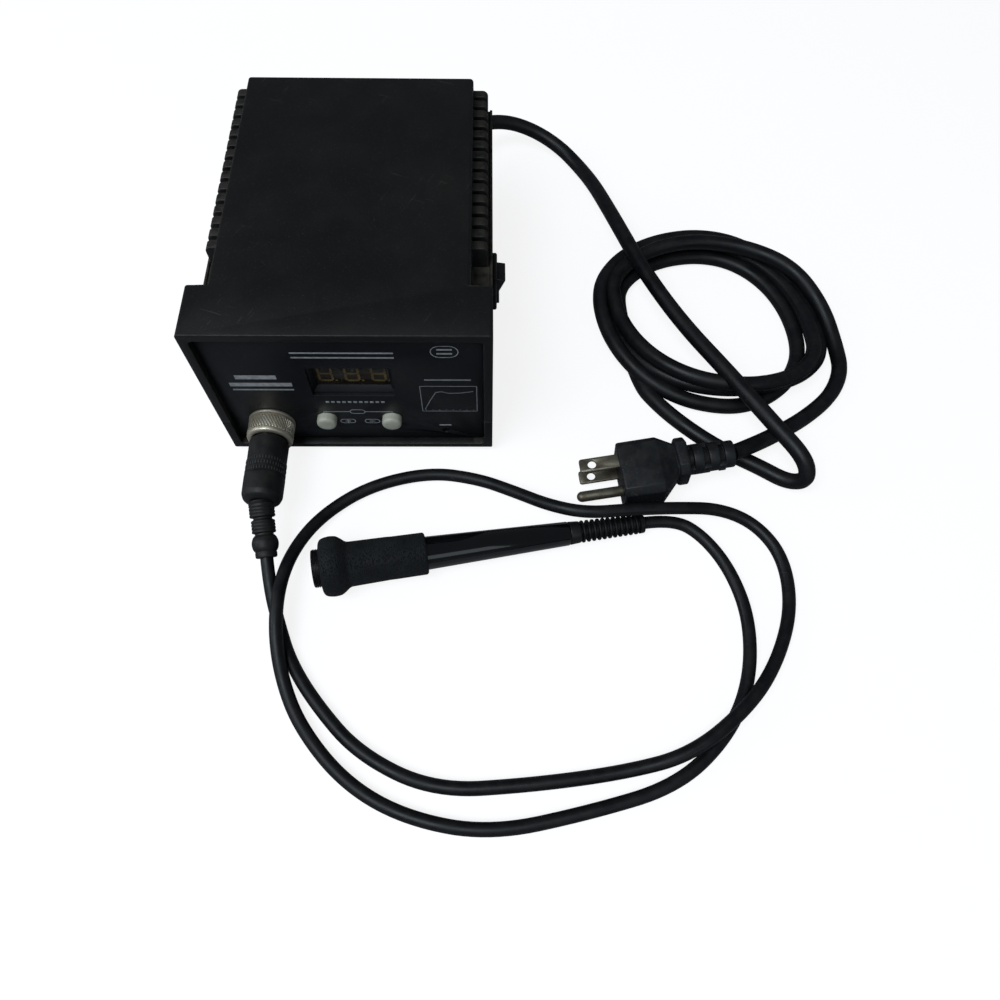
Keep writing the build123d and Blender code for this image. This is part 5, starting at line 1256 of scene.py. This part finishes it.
@dataclass
class PanelPrint:
    """Plain printed marks: rules, a ringed badge, key lozenges and a small line chart."""

    line: float = 0.35
    proud: float = 0.03
    chart: tuple[float, float, float, float] = (29.2, 53.2, 29.6, 48.8)
    chart_ticks: int = 8

    def stroke(self, made: bmesh.types.BMesh, start: tuple[float, float], end: tuple[float, float], width: float,
               face: float) -> None:
        """Adds one straight stroke of a given width."""
        along = Vector(end) - Vector(start)
        side = Vector((-along.y, along.x)).normalized() * width / 2
        a, b = Vector(start), Vector(end)
        add_flat_prism(made, [tuple(a - side), tuple(b - side), tuple(b + side), tuple(a + side)], face, self.proud)

    def path(self, made: bmesh.types.BMesh, points: Sequence[tuple[float, float]], face: float,
             width: float | None = None) -> None:
        """Adds strokes from each point to the next."""
        for start, end in zip(points, points[1:]):
            self.stroke(made, start, end, width or self.line, face)

    def pill(self, made: bmesh.types.BMesh, centre: tuple[float, float], size: tuple[float, float],
             face: float) -> None:
        """Adds the outline of a lozenge with round ends."""
        half, radius = size[0] / 2 - size[1] / 2, size[1] / 2
        turns = [math.radians(-90 + 22.5 * i) for i in range(9)]
        right = [(centre[0] + half + radius * math.cos(t), centre[1] + radius * math.sin(t)) for t in turns]
        left = [(centre[0] - half - radius * math.cos(t), centre[1] - radius * math.sin(t)) for t in turns]
        self.path(made, [*right, *left, right[0]], face)

    def build(self, book: FinishBook, shop: PatternShop, face: float) -> None:
        """Makes the marks.

        Args:
            book: The materials.
            shop: The repeating patterns.
            face: The Y of the panel's front.
        """
        made = bmesh.new()
        self.stroke(made, (-20.5, 71.6), (20.5, 71.6), 0.9, face)
        self.stroke(made, (-20.5, 68.6), (20.5, 68.6), 0.9, face)
        self.stroke(made, (-46.5, 55.0), (-29.5, 55.0), 2.7, face)
        self.stroke(made, (-50.0, 49.8), (-24.0, 49.8), 2.5, face)
        self.stroke(made, (-49.6, 46.1), (-24.0, 46.1), 0.9, face)
        self.pill(made, (40.7, 72.6), (11.0, 7.2), face)
        self.stroke(made, (37.6, 74.0), (43.8, 74.0), 0.9, face)
        self.stroke(made, (37.6, 71.4), (43.8, 71.4), 0.9, face)
        self.path(made, [(-14.6, 27.6), (-14.6, 29.0), (-3.2, 29.0)], face)
        self.path(made, [(15.6, 27.6), (15.6, 29.0), (3.8, 29.0)], face)
        for centre in ((0.3, 29.0), (-5.0, 21.2), (5.9, 21.2)):
            self.pill(made, centre, (6.6, 3.0), face)
        self.stroke(made, (-6.2, 21.2), (-3.8, 21.2), 0.45, face)
        self.stroke(made, (-5.0, 20.0), (-5.0, 22.4), 0.45, face)
        self.stroke(made, (4.7, 21.2), (7.1, 21.2), 0.45, face)
        finish_piece("panel_marks", mesh_from(made, "panel_marks"), book["panel_ink"], "root")
        self.build_chart(book, shop, face)
        self.build_scale(book, shop, face)

    def build_chart(self, book: FinishBook, shop: PatternShop, face: float) -> None:
        """Makes the line chart: its frame, a rising curve and evenly spaced ticks."""
        left, right, low, high = self.chart
        made = bmesh.new()
        self.path(made, [(left, low), (right, low), (right, high), (left, high), (left, low)], face, 0.36)
        self.stroke(made, (left + 2.2, high + 4.6), (right - 2.4, high + 4.6), 0.9, face)
        curve = [(left + 1.2, low + 1.6), (left + 4.0, low + 9.0), (left + 6.5, low + 14.6), (left + 9.0, low + 15.2),
                 (left + 12.0, low + 14.0), (right - 7.0, low + 14.2), (right - 1.5, low + 15.4)]
        self.path(made, curve, face, 0.36)
        base = mesh_from(made, "chart_lines")
        tick = block_mesh((0.22, self.proud, 0.9), 0.005, (0, -self.proud / 2, 0))
        step = (right - left - 3.0) / (self.chart_ticks - 1)
        finished = shop.run(Pattern.ALONG, base, tick, book["panel_ink_dim"], count=self.chart_ticks,
                            start=((left + 1.5) * MM, face * MM, (low + 1.0) * MM), step=(step * MM, 0.0, 0.0))
        finish_piece("panel_chart", finished, book["panel_ink_dim"], "root")

    def build_scale(self, book: FinishBook, shop: PatternShop, face: float) -> None:
        """Makes the row of small bars under the display window."""
        made = bmesh.new()
        self.stroke(made, (35.9, 18.0), (41.3, 18.0), 0.9, face)
        base = mesh_from(made, "scale_rule")
        bar = block_mesh((1.5, self.proud, 1.3), 0.005, (0, -self.proud / 2, 0))
        finished = shop.run(Pattern.ALONG, base, bar, book["panel_ink"], count=11,
                            start=(-11.6 * MM, face * MM, 36.7 * MM), step=(2.4 * MM, 0.0, 0.0))
        finish_piece("panel_scale", finished, book["panel_ink"], "root")


@dataclass
class FrontPanel:
    """Panel, display, push buttons and calibration screw."""

    edge: float = 0.2
    button_radius: float = 4.4
    button_dome: float = 0.55

    def build(self, book: FinishBook, shop: PatternShop) -> None:
        """Dresses the panel and what sits on it."""
        finish_piece("front_plate", softened("front_panel", self.edge), book["panel_black"], "root",
                     ["front_panel"])
        finish_piece("display_frame", softened("display_bezel", 0.15), book["panel_black"], "root",
                     ["display_bezel"])
        finish_piece("display_module", softened("led_display", 0.3), book["display_resin"], "root",
                     ["led_display"])
        Digits().build(book)
        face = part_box("front_panel")[0].y / MM
        PanelPrint().build(book, shop, face)
        for node in ("up_button", "down_button"):
            self.button(node, book)
        dress_node("trimmer_screw", book["brass_contact"])

    def button(self, node: str, book: FinishBook) -> None:
        """Turns one button cap with a domed face and its flange."""
        low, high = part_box(node)
        middle = (low + high) / 2 / MM
        depth = (high.y - low.y) / MM
        flange_radius = (high.x - low.x) / 2 / MM
        flange = 1.2
        outline = [(0.0, 0.001), (0.0, flange_radius), (flange, flange_radius), (flange, self.button_radius),
                   (depth - 1.5, self.button_radius), (depth - 0.65, self.button_radius - 0.28),
                   (depth - 0.22, self.button_radius - 1.1), (depth - 0.06, self.button_radius - 2.2), (depth, 0.001)]
        cap = lathe(rounded(outline, self.button_dome, 4), 72)
        axis = LocalAxis((middle.x, high.y / MM, middle.z), (0, -1, 0))
        finish_piece(node + "_cap", placed(cap, axis), book["button_cream"], node, [node])


# ---------------------------------------------------------------- connector
@dataclass
class Connector:
    """Panel socket, knurled ring, plug sleeve with raised pads, and its segmented strain relief."""

    socket: tuple[float, float] = (-39.0, 21.0)
    ring_radius: float = 10.0
    ring_bore: float = 8.1
    knurl_count: int = 46
    knurl_lean: float = 30.0
    knurl_depth: float = 0.6
    knurl_width: float = 0.62
    rear_rim: float = 0.9
    front_rim: float = 2.3
    sleeve_radius: float = 8.8
    sleeve_end: float = -110.8
    neck_length: float = 2.9
    pad_columns: int = 42
    pad_pitch: float = 2.5
    relief_yaw: float = 8.0
    relief_droop: float = 20.0
    relief_length: float = 23.4

    def relief_axis(self) -> LocalAxis:
        """Returns the drooping axis of the strain relief, from the sleeve's end."""
        origin = (self.socket[0], self.sleeve_end, self.socket[1])
        return LocalAxis(origin, aimed(-90.0 + self.relief_yaw, -self.relief_droop))

    def build(self, book: FinishBook, shop: PatternShop) -> None:
        """Makes the socket, the ring, the sleeve and the relief."""
        finish_piece("socket_shell", softened("panel_socket", 0.25), book["nickel"], "root", ["panel_socket"])
        self.ring(book, shop)
        self.sleeve(book, shop)
        self.relief(book)

    def ring(self, book: FinishBook, shop: PatternShop) -> None:
        """Makes the coupling ring: bright rims and a band of slanted knurls."""
        low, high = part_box("coupling_ring")
        length = (high.y - low.y) / MM
        band = self.ring_radius - self.knurl_depth
        rear, front = self.rear_rim, length - self.front_rim
        outline = [(0.0, self.ring_bore), (0.0, self.ring_radius - 0.5), (0.4, self.ring_radius),
                   (rear - 0.2, self.ring_radius), (rear, band), (front, band), (front + 0.3, self.ring_radius),
                   (length - 0.9, self.ring_radius), (length - 0.3, self.ring_radius - 0.35),
                   (length, self.ring_radius - 1.0), (length, self.ring_bore)]
        base = lathe(outline, 96, closed=True)
        knurl = block_mesh((2 * self.knurl_depth, self.knurl_width,
                            (front - rear) / math.cos(math.radians(self.knurl_lean))), 0.1)
        knurl.transform(Matrix.Rotation(math.radians(self.knurl_lean), 4, "X"))
        finished = shop.run(Pattern.AROUND, base, knurl, book["nickel"], columns=self.knurl_count,
                            radius=band * MM, start=(rear + front) / 2 * MM)
        axis = LocalAxis((self.socket[0], high.y / MM, self.socket[1]), (0, -1, 0))
        finish_piece("knurled_ring", placed(finished, axis), book["nickel"], "coupling_ring",
                     ["coupling_ring"])

    def sleeve(self, book: FinishBook, shop: PatternShop) -> None:
        """Makes the plug's rubber sleeve with three rows of raised pads."""
        low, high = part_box("connector_body")
        length = (high.y - low.y) / MM
        radius = self.sleeve_radius
        neck = self.neck_length
        outline = [(0.0, 0.001), (0.0, 7.0), (neck, 7.1), (neck + 0.05, radius - 0.75), (neck + 0.7, radius - 0.2),
                   (neck + 8.5, radius - 0.3), (neck + 17.6, radius - 0.45), (neck + 18.0, radius - 0.05),
                   (length - 3.4, radius - 0.15), (length - 1.5, radius - 0.9), (length - 0.5, 6.6), (length, 5.6),
                   (length, 0.001)]
        base = lathe(rounded(outline, 0.5, 3), 80)
        key = block_mesh((1.1, 1.9, neck + 0.6), 0.15, (0.0, 0.0, neck / 2))
        sleeve = shop.run(Pattern.AROUND, base, key, book["rubber_black"], columns=4, radius=6.9 * MM)
        axis = LocalAxis((self.socket[0], high.y / MM, self.socket[1]), (0, -1, 0))
        finish_piece("plug_sleeve", placed(sleeve, axis), book["rubber_black"], "root",
                     ["connector_body"])
        self.pads(book, shop, axis, neck + 11.3, radius - 0.3)

    def pads(self, book: FinishBook, shop: PatternShop, axis: LocalAxis, start: float, radius: float) -> None:
        """Makes the three rows of small raised pads, painted pale all over as a highlight.

        Args:
            book: The materials.
            shop: The repeating patterns.
            axis: The sleeve's axis.
            start: Where the first row lies along it, in millimetres.
            radius: The skin's radius there.
        """
        hoop = lathe([(start, radius - 1.0), (start, radius - 0.6), (start + 1.0, radius - 0.6),
                      (start + 1.0, radius - 1.0)],
                     40, closed=True)
        pad = block_mesh((0.42, 0.52, 1.35), 0.1)
        finished = shop.run(Pattern.AROUND, hoop, pad, book["rubber_pad_highlight"], columns=self.pad_columns, rows=3,
                            radius=radius * MM, start=start * MM, row_pitch=self.pad_pitch * MM, row_turn=0.05)
        finish_piece("sleeve_pads", placed(finished, axis), book["rubber_pad_highlight"], "root")

    def relief(self, book: FinishBook) -> None:
        """Makes the strain relief: two finely ridged collars, a smooth ball and a lip."""
        outline = [(-1.2, 4.6), (0.0, 5.0), (0.3, 5.4)]
        for start, length, radius in ((0.3, 5.7, 5.35), (7.2, 5.6, 5.0)):
            ridges = 4
            pitch = length / ridges
            for index in range(ridges):
                begin = start + index * pitch
                outline += [(begin + 0.15 * pitch, radius - 0.05), (begin + 0.75 * pitch, radius + 0.03),
                            (begin + 0.95 * pitch, radius - 0.28)]
            outline += [(start + length, radius - 0.6), (start + length + 0.15, 3.9), (start + length + 1.0, 3.9)]
        outline += [(13.7, 4.1), (14.6, 4.9), (16.2, 5.5), (17.6, 5.6), (19.2, 5.35), (20.4, 4.75), (20.75, 4.35),
                    (21.3, 4.55), (22.9, 4.5), (23.35, 4.2), (self.relief_length, 2.8)]
        mesh = lathe(rounded(outline, 0.35, 2), 64)
        finish_piece("plug_relief_segments", placed(mesh, self.relief_axis()), book["rubber_black"], "root",
                     ["connector_relief"])


# ---------------------------------------------------------------- iron
@dataclass
class Iron:
    """The handle: ribbed relief, cap, gloss tube, foam grip and threaded nose collar."""

    exit: Point = (127.4, -112.7, 5.0)
    yaw: float = 190.0
    nose_up: float = 3.45
    relief_length: float = 29.5
    cap_length: float = 5.0
    taper_length: float = 63.0
    grip_length: float = 44.8
    collar_length: float = 3.3
    rings: int = 12

    def axis(self) -> LocalAxis:
        """Returns the handle's axis from its cord end."""
        return LocalAxis(self.exit, aimed(self.yaw, self.nose_up))

    def piece(self, name: str, mesh: bpy.types.Mesh, material: bpy.types.Material, slot: str,
              node: str) -> bpy.types.Object:
        """Puts one of the handle's meshes in place of its CAD node."""
        return finish_piece(name, placed(mesh, self.axis()), material, "root", [node])

    def build(self, book: FinishBook, shop: PatternShop) -> None:
        """Makes the five visible pieces."""
        grip_start = self.relief_length + self.cap_length + self.taper_length
        grip_end = grip_start + self.grip_length
        self.relief(book, shop)
        cap = rounded([(29.3, 0.001), (29.3, 4.6), (30.0, 4.85), (34.2, 5.15), (34.5, 0.001)], 0.3, 3)
        self.piece("handle_cap", lathe(cap), book["collar_black"], "switch_black", "iron_cap")
        self.tube(book, grip_start, grip_end)
        self.grip(book, grip_start, grip_end)
        self.collar(book, grip_end)

    def relief(self, book: FinishBook, shop: PatternShop) -> None:
        """Makes the ribbed strain relief: a slim core, rounded rings and a longer end ring."""
        pitch = self.relief_length / self.rings
        core = lathe([(0.0, 2.85), (0.0, 3.4), (0.3, 4.35), (2.2, 4.5), (2.5, 3.1), (self.relief_length, 3.3),
                      (self.relief_length, 0.001)], 48)
        ring = [(-0.56, 3.0), (-0.60, 4.45), (-0.38, 4.88), (0.0, 5.0), (0.38, 4.88), (0.60, 4.45), (0.56, 3.0)]
        finished = shop.run(Pattern.ALONG, core, lathe(ring, 48, closed=True), book["cord_pvc"], count=self.rings - 1,
                            start=(0.0, 0.0, 1.6 * pitch * MM), step=(0.0, 0.0, pitch * 0.985 * MM),
                            first_scale=0.925, last_scale=1.0)
        self.piece("handle_relief", finished, book["cord_pvc"], "rubber_black", "iron_relief")

    def tube(self, book: FinishBook, grip_start: float, grip_end: float) -> None:
        """Makes the polished tube, with its bore left open at the nose."""
        start = self.relief_length + self.cap_length
        wall = 0.8
        outline = [(start + 4.0, 4.5), (start, 4.5), (start, 5.0), (start + 0.5, 5.3), (grip_start, 7.2),
                   (grip_end, 7.2),
                   (grip_end, 7.2 - wall), (grip_start, 7.2 - wall)]
        self.piece("handle_tube", lathe(outline, 96, closed=True), book["handle_gloss"], "handle_gloss", "iron_tube")

    def grip(self, book: FinishBook, grip_start: float, grip_end: float) -> None:
        """Makes the foam sleeve with its flared finger stop and slightly uneven skin."""
        bore = 7.25
        flare = grip_end - 10.9
        outer = [(grip_start, bore), (grip_start, 8.6), (grip_start + 0.7, 9.25), (grip_start + 15.0, 9.4),
                 (flare - 0.6, 9.75), (flare + 1.6, 11.6), (flare + 3.4, 12.75), (flare + 6.2, 13.05),
                 (grip_end - 2.4, 12.7), (grip_end - 0.9, 12.2), (grip_end, 10.9), (grip_end, bore)]
        mesh = lathe(rounded(outer, 1.1, 5), 112, closed=True)
        for vert in mesh.vertices:
            reach = math.hypot(vert.co.x, vert.co.y)
            if reach > (bore + 1.2) * MM:
                turn = math.atan2(vert.co.y, vert.co.x)
                along = vert.co.z / MM
                swell = 0.10 * math.sin(3 * turn + along * 0.21) + 0.07 * math.sin(5 * turn - along * 0.37)
                vert.co.xy *= 1 + (swell - 0.17) * MM / reach
        grip = self.piece("handle_grip", mesh, book["grip_foam"], "grip_foam", "iron_grip")

    def collar(self, book: FinishBook, grip_end: float) -> None:
        """Makes the threaded nose collar, bored for the heater."""
        end = grip_end + self.collar_length
        outline = [(grip_end - 9.0, 6.35), (grip_end, 6.35), (grip_end, 7.6)]
        threads = 4
        pitch = (self.collar_length - 0.5) / threads
        for index in range(threads):
            begin = grip_end + 0.1 + index * pitch
            outline += [(begin + 0.1, 7.75), (begin + 0.45 * pitch, 8.18), (begin + 0.62 * pitch, 8.18),
                        (begin + pitch, 7.75)]
        outline += [(end - 0.25, 8.0), (end, 7.7), (end, 5.5), (end - 0.3, 5.2), (grip_end - 9.0, 5.2)]
        self.piece("nose_collar", lathe(outline, 96, closed=True), book["collar_black"], "collar_black", "iron_collar")


# ---------------------------------------------------------------- power side
@dataclass
class PowerSide:
    """Rocker switch, rear panel, cord gland and fuse holder."""

    gland_x: float = 36.0
    gland_z: float = 22.0

    def build(self, book: FinishBook, shop: PatternShop) -> None:
        """Makes the switch and what the rear panel carries."""
        black = book["switch_black"]
        finish_piece("switch_frame", softened("switch_housing", 0.3), black, "root", ["switch_housing"])
        finish_piece("rocker_key", softened("power_rocker", 0.5, 3), black, "power_rocker",
                     ["power_rocker"])
        finish_piece("rear_plate", softened("rear_panel", 0.25), book["panel_black"], "root",
                     ["rear_panel"])
        finish_piece("fuse_base", softened("fuse_holder", 0.3), black, "root", ["fuse_holder"])
        finish_piece("fuse_knob", softened("fuse_cap", 0.3), black, "root", ["fuse_cap"])
        self.gland(book, shop)

    def gland(self, book: FinishBook, shop: PatternShop) -> None:
        """Makes the tapered cord gland from a core and six rounded rings."""
        low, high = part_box("cord_gland")
        face = 10.0
        length = (high.y - low.y) / MM
        core = lathe(rounded([(0.0, 0.001), (0.0, 6.1), (face, 6.1), (face, 9.2), (face + 2.0, 9.2), (face + 2.2, 6.6),
                              (length - 1.0, 4.3), (length, 4.1), (length, 0.001)], 0.4, 3), 64)
        ring = [(-0.95, 4.5), (-1.0, 7.2), (-0.75, 7.75), (0.0, 7.9), (0.75, 7.7), (1.0, 7.1), (0.95, 4.5)]
        finished = shop.run(Pattern.ALONG, core, lathe(ring, 64, closed=True), book["rubber_black"], count=6,
                            start=(0.0, 0.0, (face + 3.4) * MM), step=(0.0, 0.0, 2.9 * MM), first_scale=1.0,
                            last_scale=0.66)
        axis = LocalAxis((self.gland_x, low.y / MM, self.gland_z), (0, 1, 0))
        finish_piece("lead_gland", placed(finished, axis), book["rubber_black"], "root", ["cord_gland"])


# ---------------------------------------------------------------- mains plug
@dataclass
class MainsPlug:
    """Grounded plug: moulded body, slotted strain relief, two blades and a round pin."""

    face: Point = (116.7, -87.7, 11.6)
    yaw: float = 187.0
    nose_down: float = 5.5
    roll: float = 3.0
    body_length: float = 31.0
    relief_length: float = 21.0
    axis_offset: float = 2.0
    segments: int = 3

    crease: float = 0.45
    crease_angle: float = 12.0
    # Along from the face, middle to the side, half width, half thickness and corner cut
    sections: tuple[tuple[float, float, float, float, float], ...] = (
        (0.0, -5.0, 12.9, 10.0, 2.6),
        (0.7, -5.0, 13.4, 10.4, 2.8),
        (17.6, -5.0, 13.5, 10.5, 3.0),
        (25.5, -2.6, 7.9, 7.4, 2.7),
        (25.7, -2.0, 8.7, 8.5, 3.4),
        (26.4, -2.0, 9.4, 9.2, 3.7),
        (30.3, -2.0, 9.4, 9.2, 3.7),
        (31.0, -2.0, 8.6, 8.4, 3.4),
    )

    def axes(self) -> tuple[Vector, Vector, Vector]:
        """Returns the directions back along the plug, to its blade side, and across its blades."""
        back = -Vector(aimed(self.yaw, -self.nose_down))
        side = Vector((0, 0, 1)).cross(back).normalized()
        up = back.cross(side)
        turned = side * math.cos(math.radians(self.roll)) + up * math.sin(math.radians(self.roll))
        return back, turned, back.cross(turned)

    def relief_axis(self) -> LocalAxis:
        """Returns the strain relief's axis, from the body's cord end."""
        back, side, _ = self.axes()
        origin = Vector(self.face) + back * self.body_length - side * self.axis_offset
        return LocalAxis(tuple(origin), tuple(back))

    def moulding(self) -> bpy.types.Mesh:
        """Lofts the body through its eight-sided sections, with softened creases."""
        back, side, across = self.axes()
        verts, faces = [], []
        for along, middle, wide, thick, cut in self.sections:
            corners = [(wide, thick - cut), (wide - cut, thick), (cut - wide, thick), (-wide, thick - cut),
                       (-wide, cut - thick), (cut - wide, -thick), (wide - cut, -thick), (wide, cut - thick)]
            verts += [(Vector(self.face) + back * along + side * (middle + u) + across * v) * MM for u, v in corners]
        for row in range(len(self.sections) - 1):
            for j in range(8):
                k = (j + 1) % 8
                faces.append((row * 8 + j, row * 8 + k, row * 8 + 8 + k, row * 8 + 8 + j))
        faces.append(tuple(reversed(range(8))))
        faces.append(tuple(len(verts) - 8 + j for j in range(8)))
        mesh = bpy.data.meshes.new("plug_moulding")
        mesh.from_pydata([tuple(v) for v in verts], [], faces)
        return bevelled(mesh, self.crease, 3, self.crease_angle)

    def build(self, book: FinishBook, shop: PatternShop) -> list[bpy.types.Object]:
        """Makes the plug's pieces.

        Args:
            book: The materials.
            shop: The repeating patterns.

        Returns:
            The pieces.
        """
        skin = book["plug_pvc"]
        body = finish_piece("plug_moulding", self.moulding(), skin, "root", ["plug_body"])
        blades = finish_piece("contact_blades", softened("plug_blades", 0.22), book["brass_blade"], "root",
                              ["plug_blades"])
        pin = finish_piece("round_pin", softened("ground_pin", 0.1), book["brass_blade"], "root",
                           ["ground_pin"])
        return [body, self.relief(skin, shop), blades, pin]

    def relief(self, skin: bpy.types.Material, shop: PatternShop) -> bpy.types.Object:
        """Makes the slotted relief: a core, three rings and bridges across the slots between them."""
        pitch = self.relief_length / self.segments
        core = lathe([(0.0, 0.001), (0.0, 4.7), (self.relief_length - 0.3, 4.4), (self.relief_length, 4.2),
                      (self.relief_length, 0.001)], 48)
        half = 2.35
        ring = rounded([(-half, 4.4), (-half, 6.6), (half, 6.6), (half, 4.4)], 0.6, 4)
        rings = shop.run(Pattern.ALONG, core, lathe(ring, 64, closed=True), skin, count=self.segments,
                         start=(0.0, 0.0, (pitch - half) * MM), step=(0.0, 0.0, pitch * MM),
                         first_scale=1.05, last_scale=0.93)
        bridge = block_mesh((2.4, 5.2, pitch - 2 * half + 1.0), 0.35)
        finished = shop.run(Pattern.AROUND, rings, bridge, skin, columns=2, rows=self.segments, radius=5.35 * MM,
                            start=(pitch / 2 - half) * MM, row_pitch=pitch * MM)
        axis = self.relief_axis()
        return finish_piece("plug_tail_relief", placed(finished, axis), skin, "root", ["plug_relief"])

    def cord_end(self) -> Point:
        """Returns where the cord enters the relief, in millimetres."""
        return self.relief_axis().at(self.relief_length)


# ---------------------------------------------------------------- unseen pieces
@dataclass(frozen=True)
class Innards:
    """CAD nodes inside the housing and the handle, each with its finish."""

    nodes: dict[str, str] = field(default_factory=lambda: {
        "tact_switches": "switch_black",
        "trimmer_body": "trimmer_blue",
        "control_board": "board_green",
        "board_spacers": "steel_plated",
        "board_screws": "steel_plated",
        "socket_nut": "nickel",
        "gland_nut": "switch_black",
        "transformer_core": "core_steel",
        "transformer_winding": "copper_winding",
        "transformer_bracket": "steel_plated",
        "bracket_screws": "steel_plated",
        "iron_socket": "switch_black",
    })

    def build(self, book: FinishBook) -> None:
        """Dresses each of them."""
        for node, finish in self.nodes.items():
            dress_node(node, book[finish])


def main() -> None:
    """Builds the scene in order: studio, cords, then each sub-assembly."""
    logging.basicConfig(level=logging.INFO, format="%(name)s %(message)s")
    Studio().build()
    book = FinishBook()
    shop = PatternShop()
    connector, iron, plug = Connector(), Iron(), MainsPlug()
    IronCord().build(book, connector.relief_axis(), connector.relief_length, iron.axis())
    MainsCord().build(book, plug.cord_end(), plug.build(book, shop))
    Housing().build(book)
    FrontPanel().build(book, shop)
    connector.build(book, shop)
    iron.build(book, shop)
    PowerSide().build(book, shop)
    Innards().build(book)


if __name__ == "__main__":
    main()
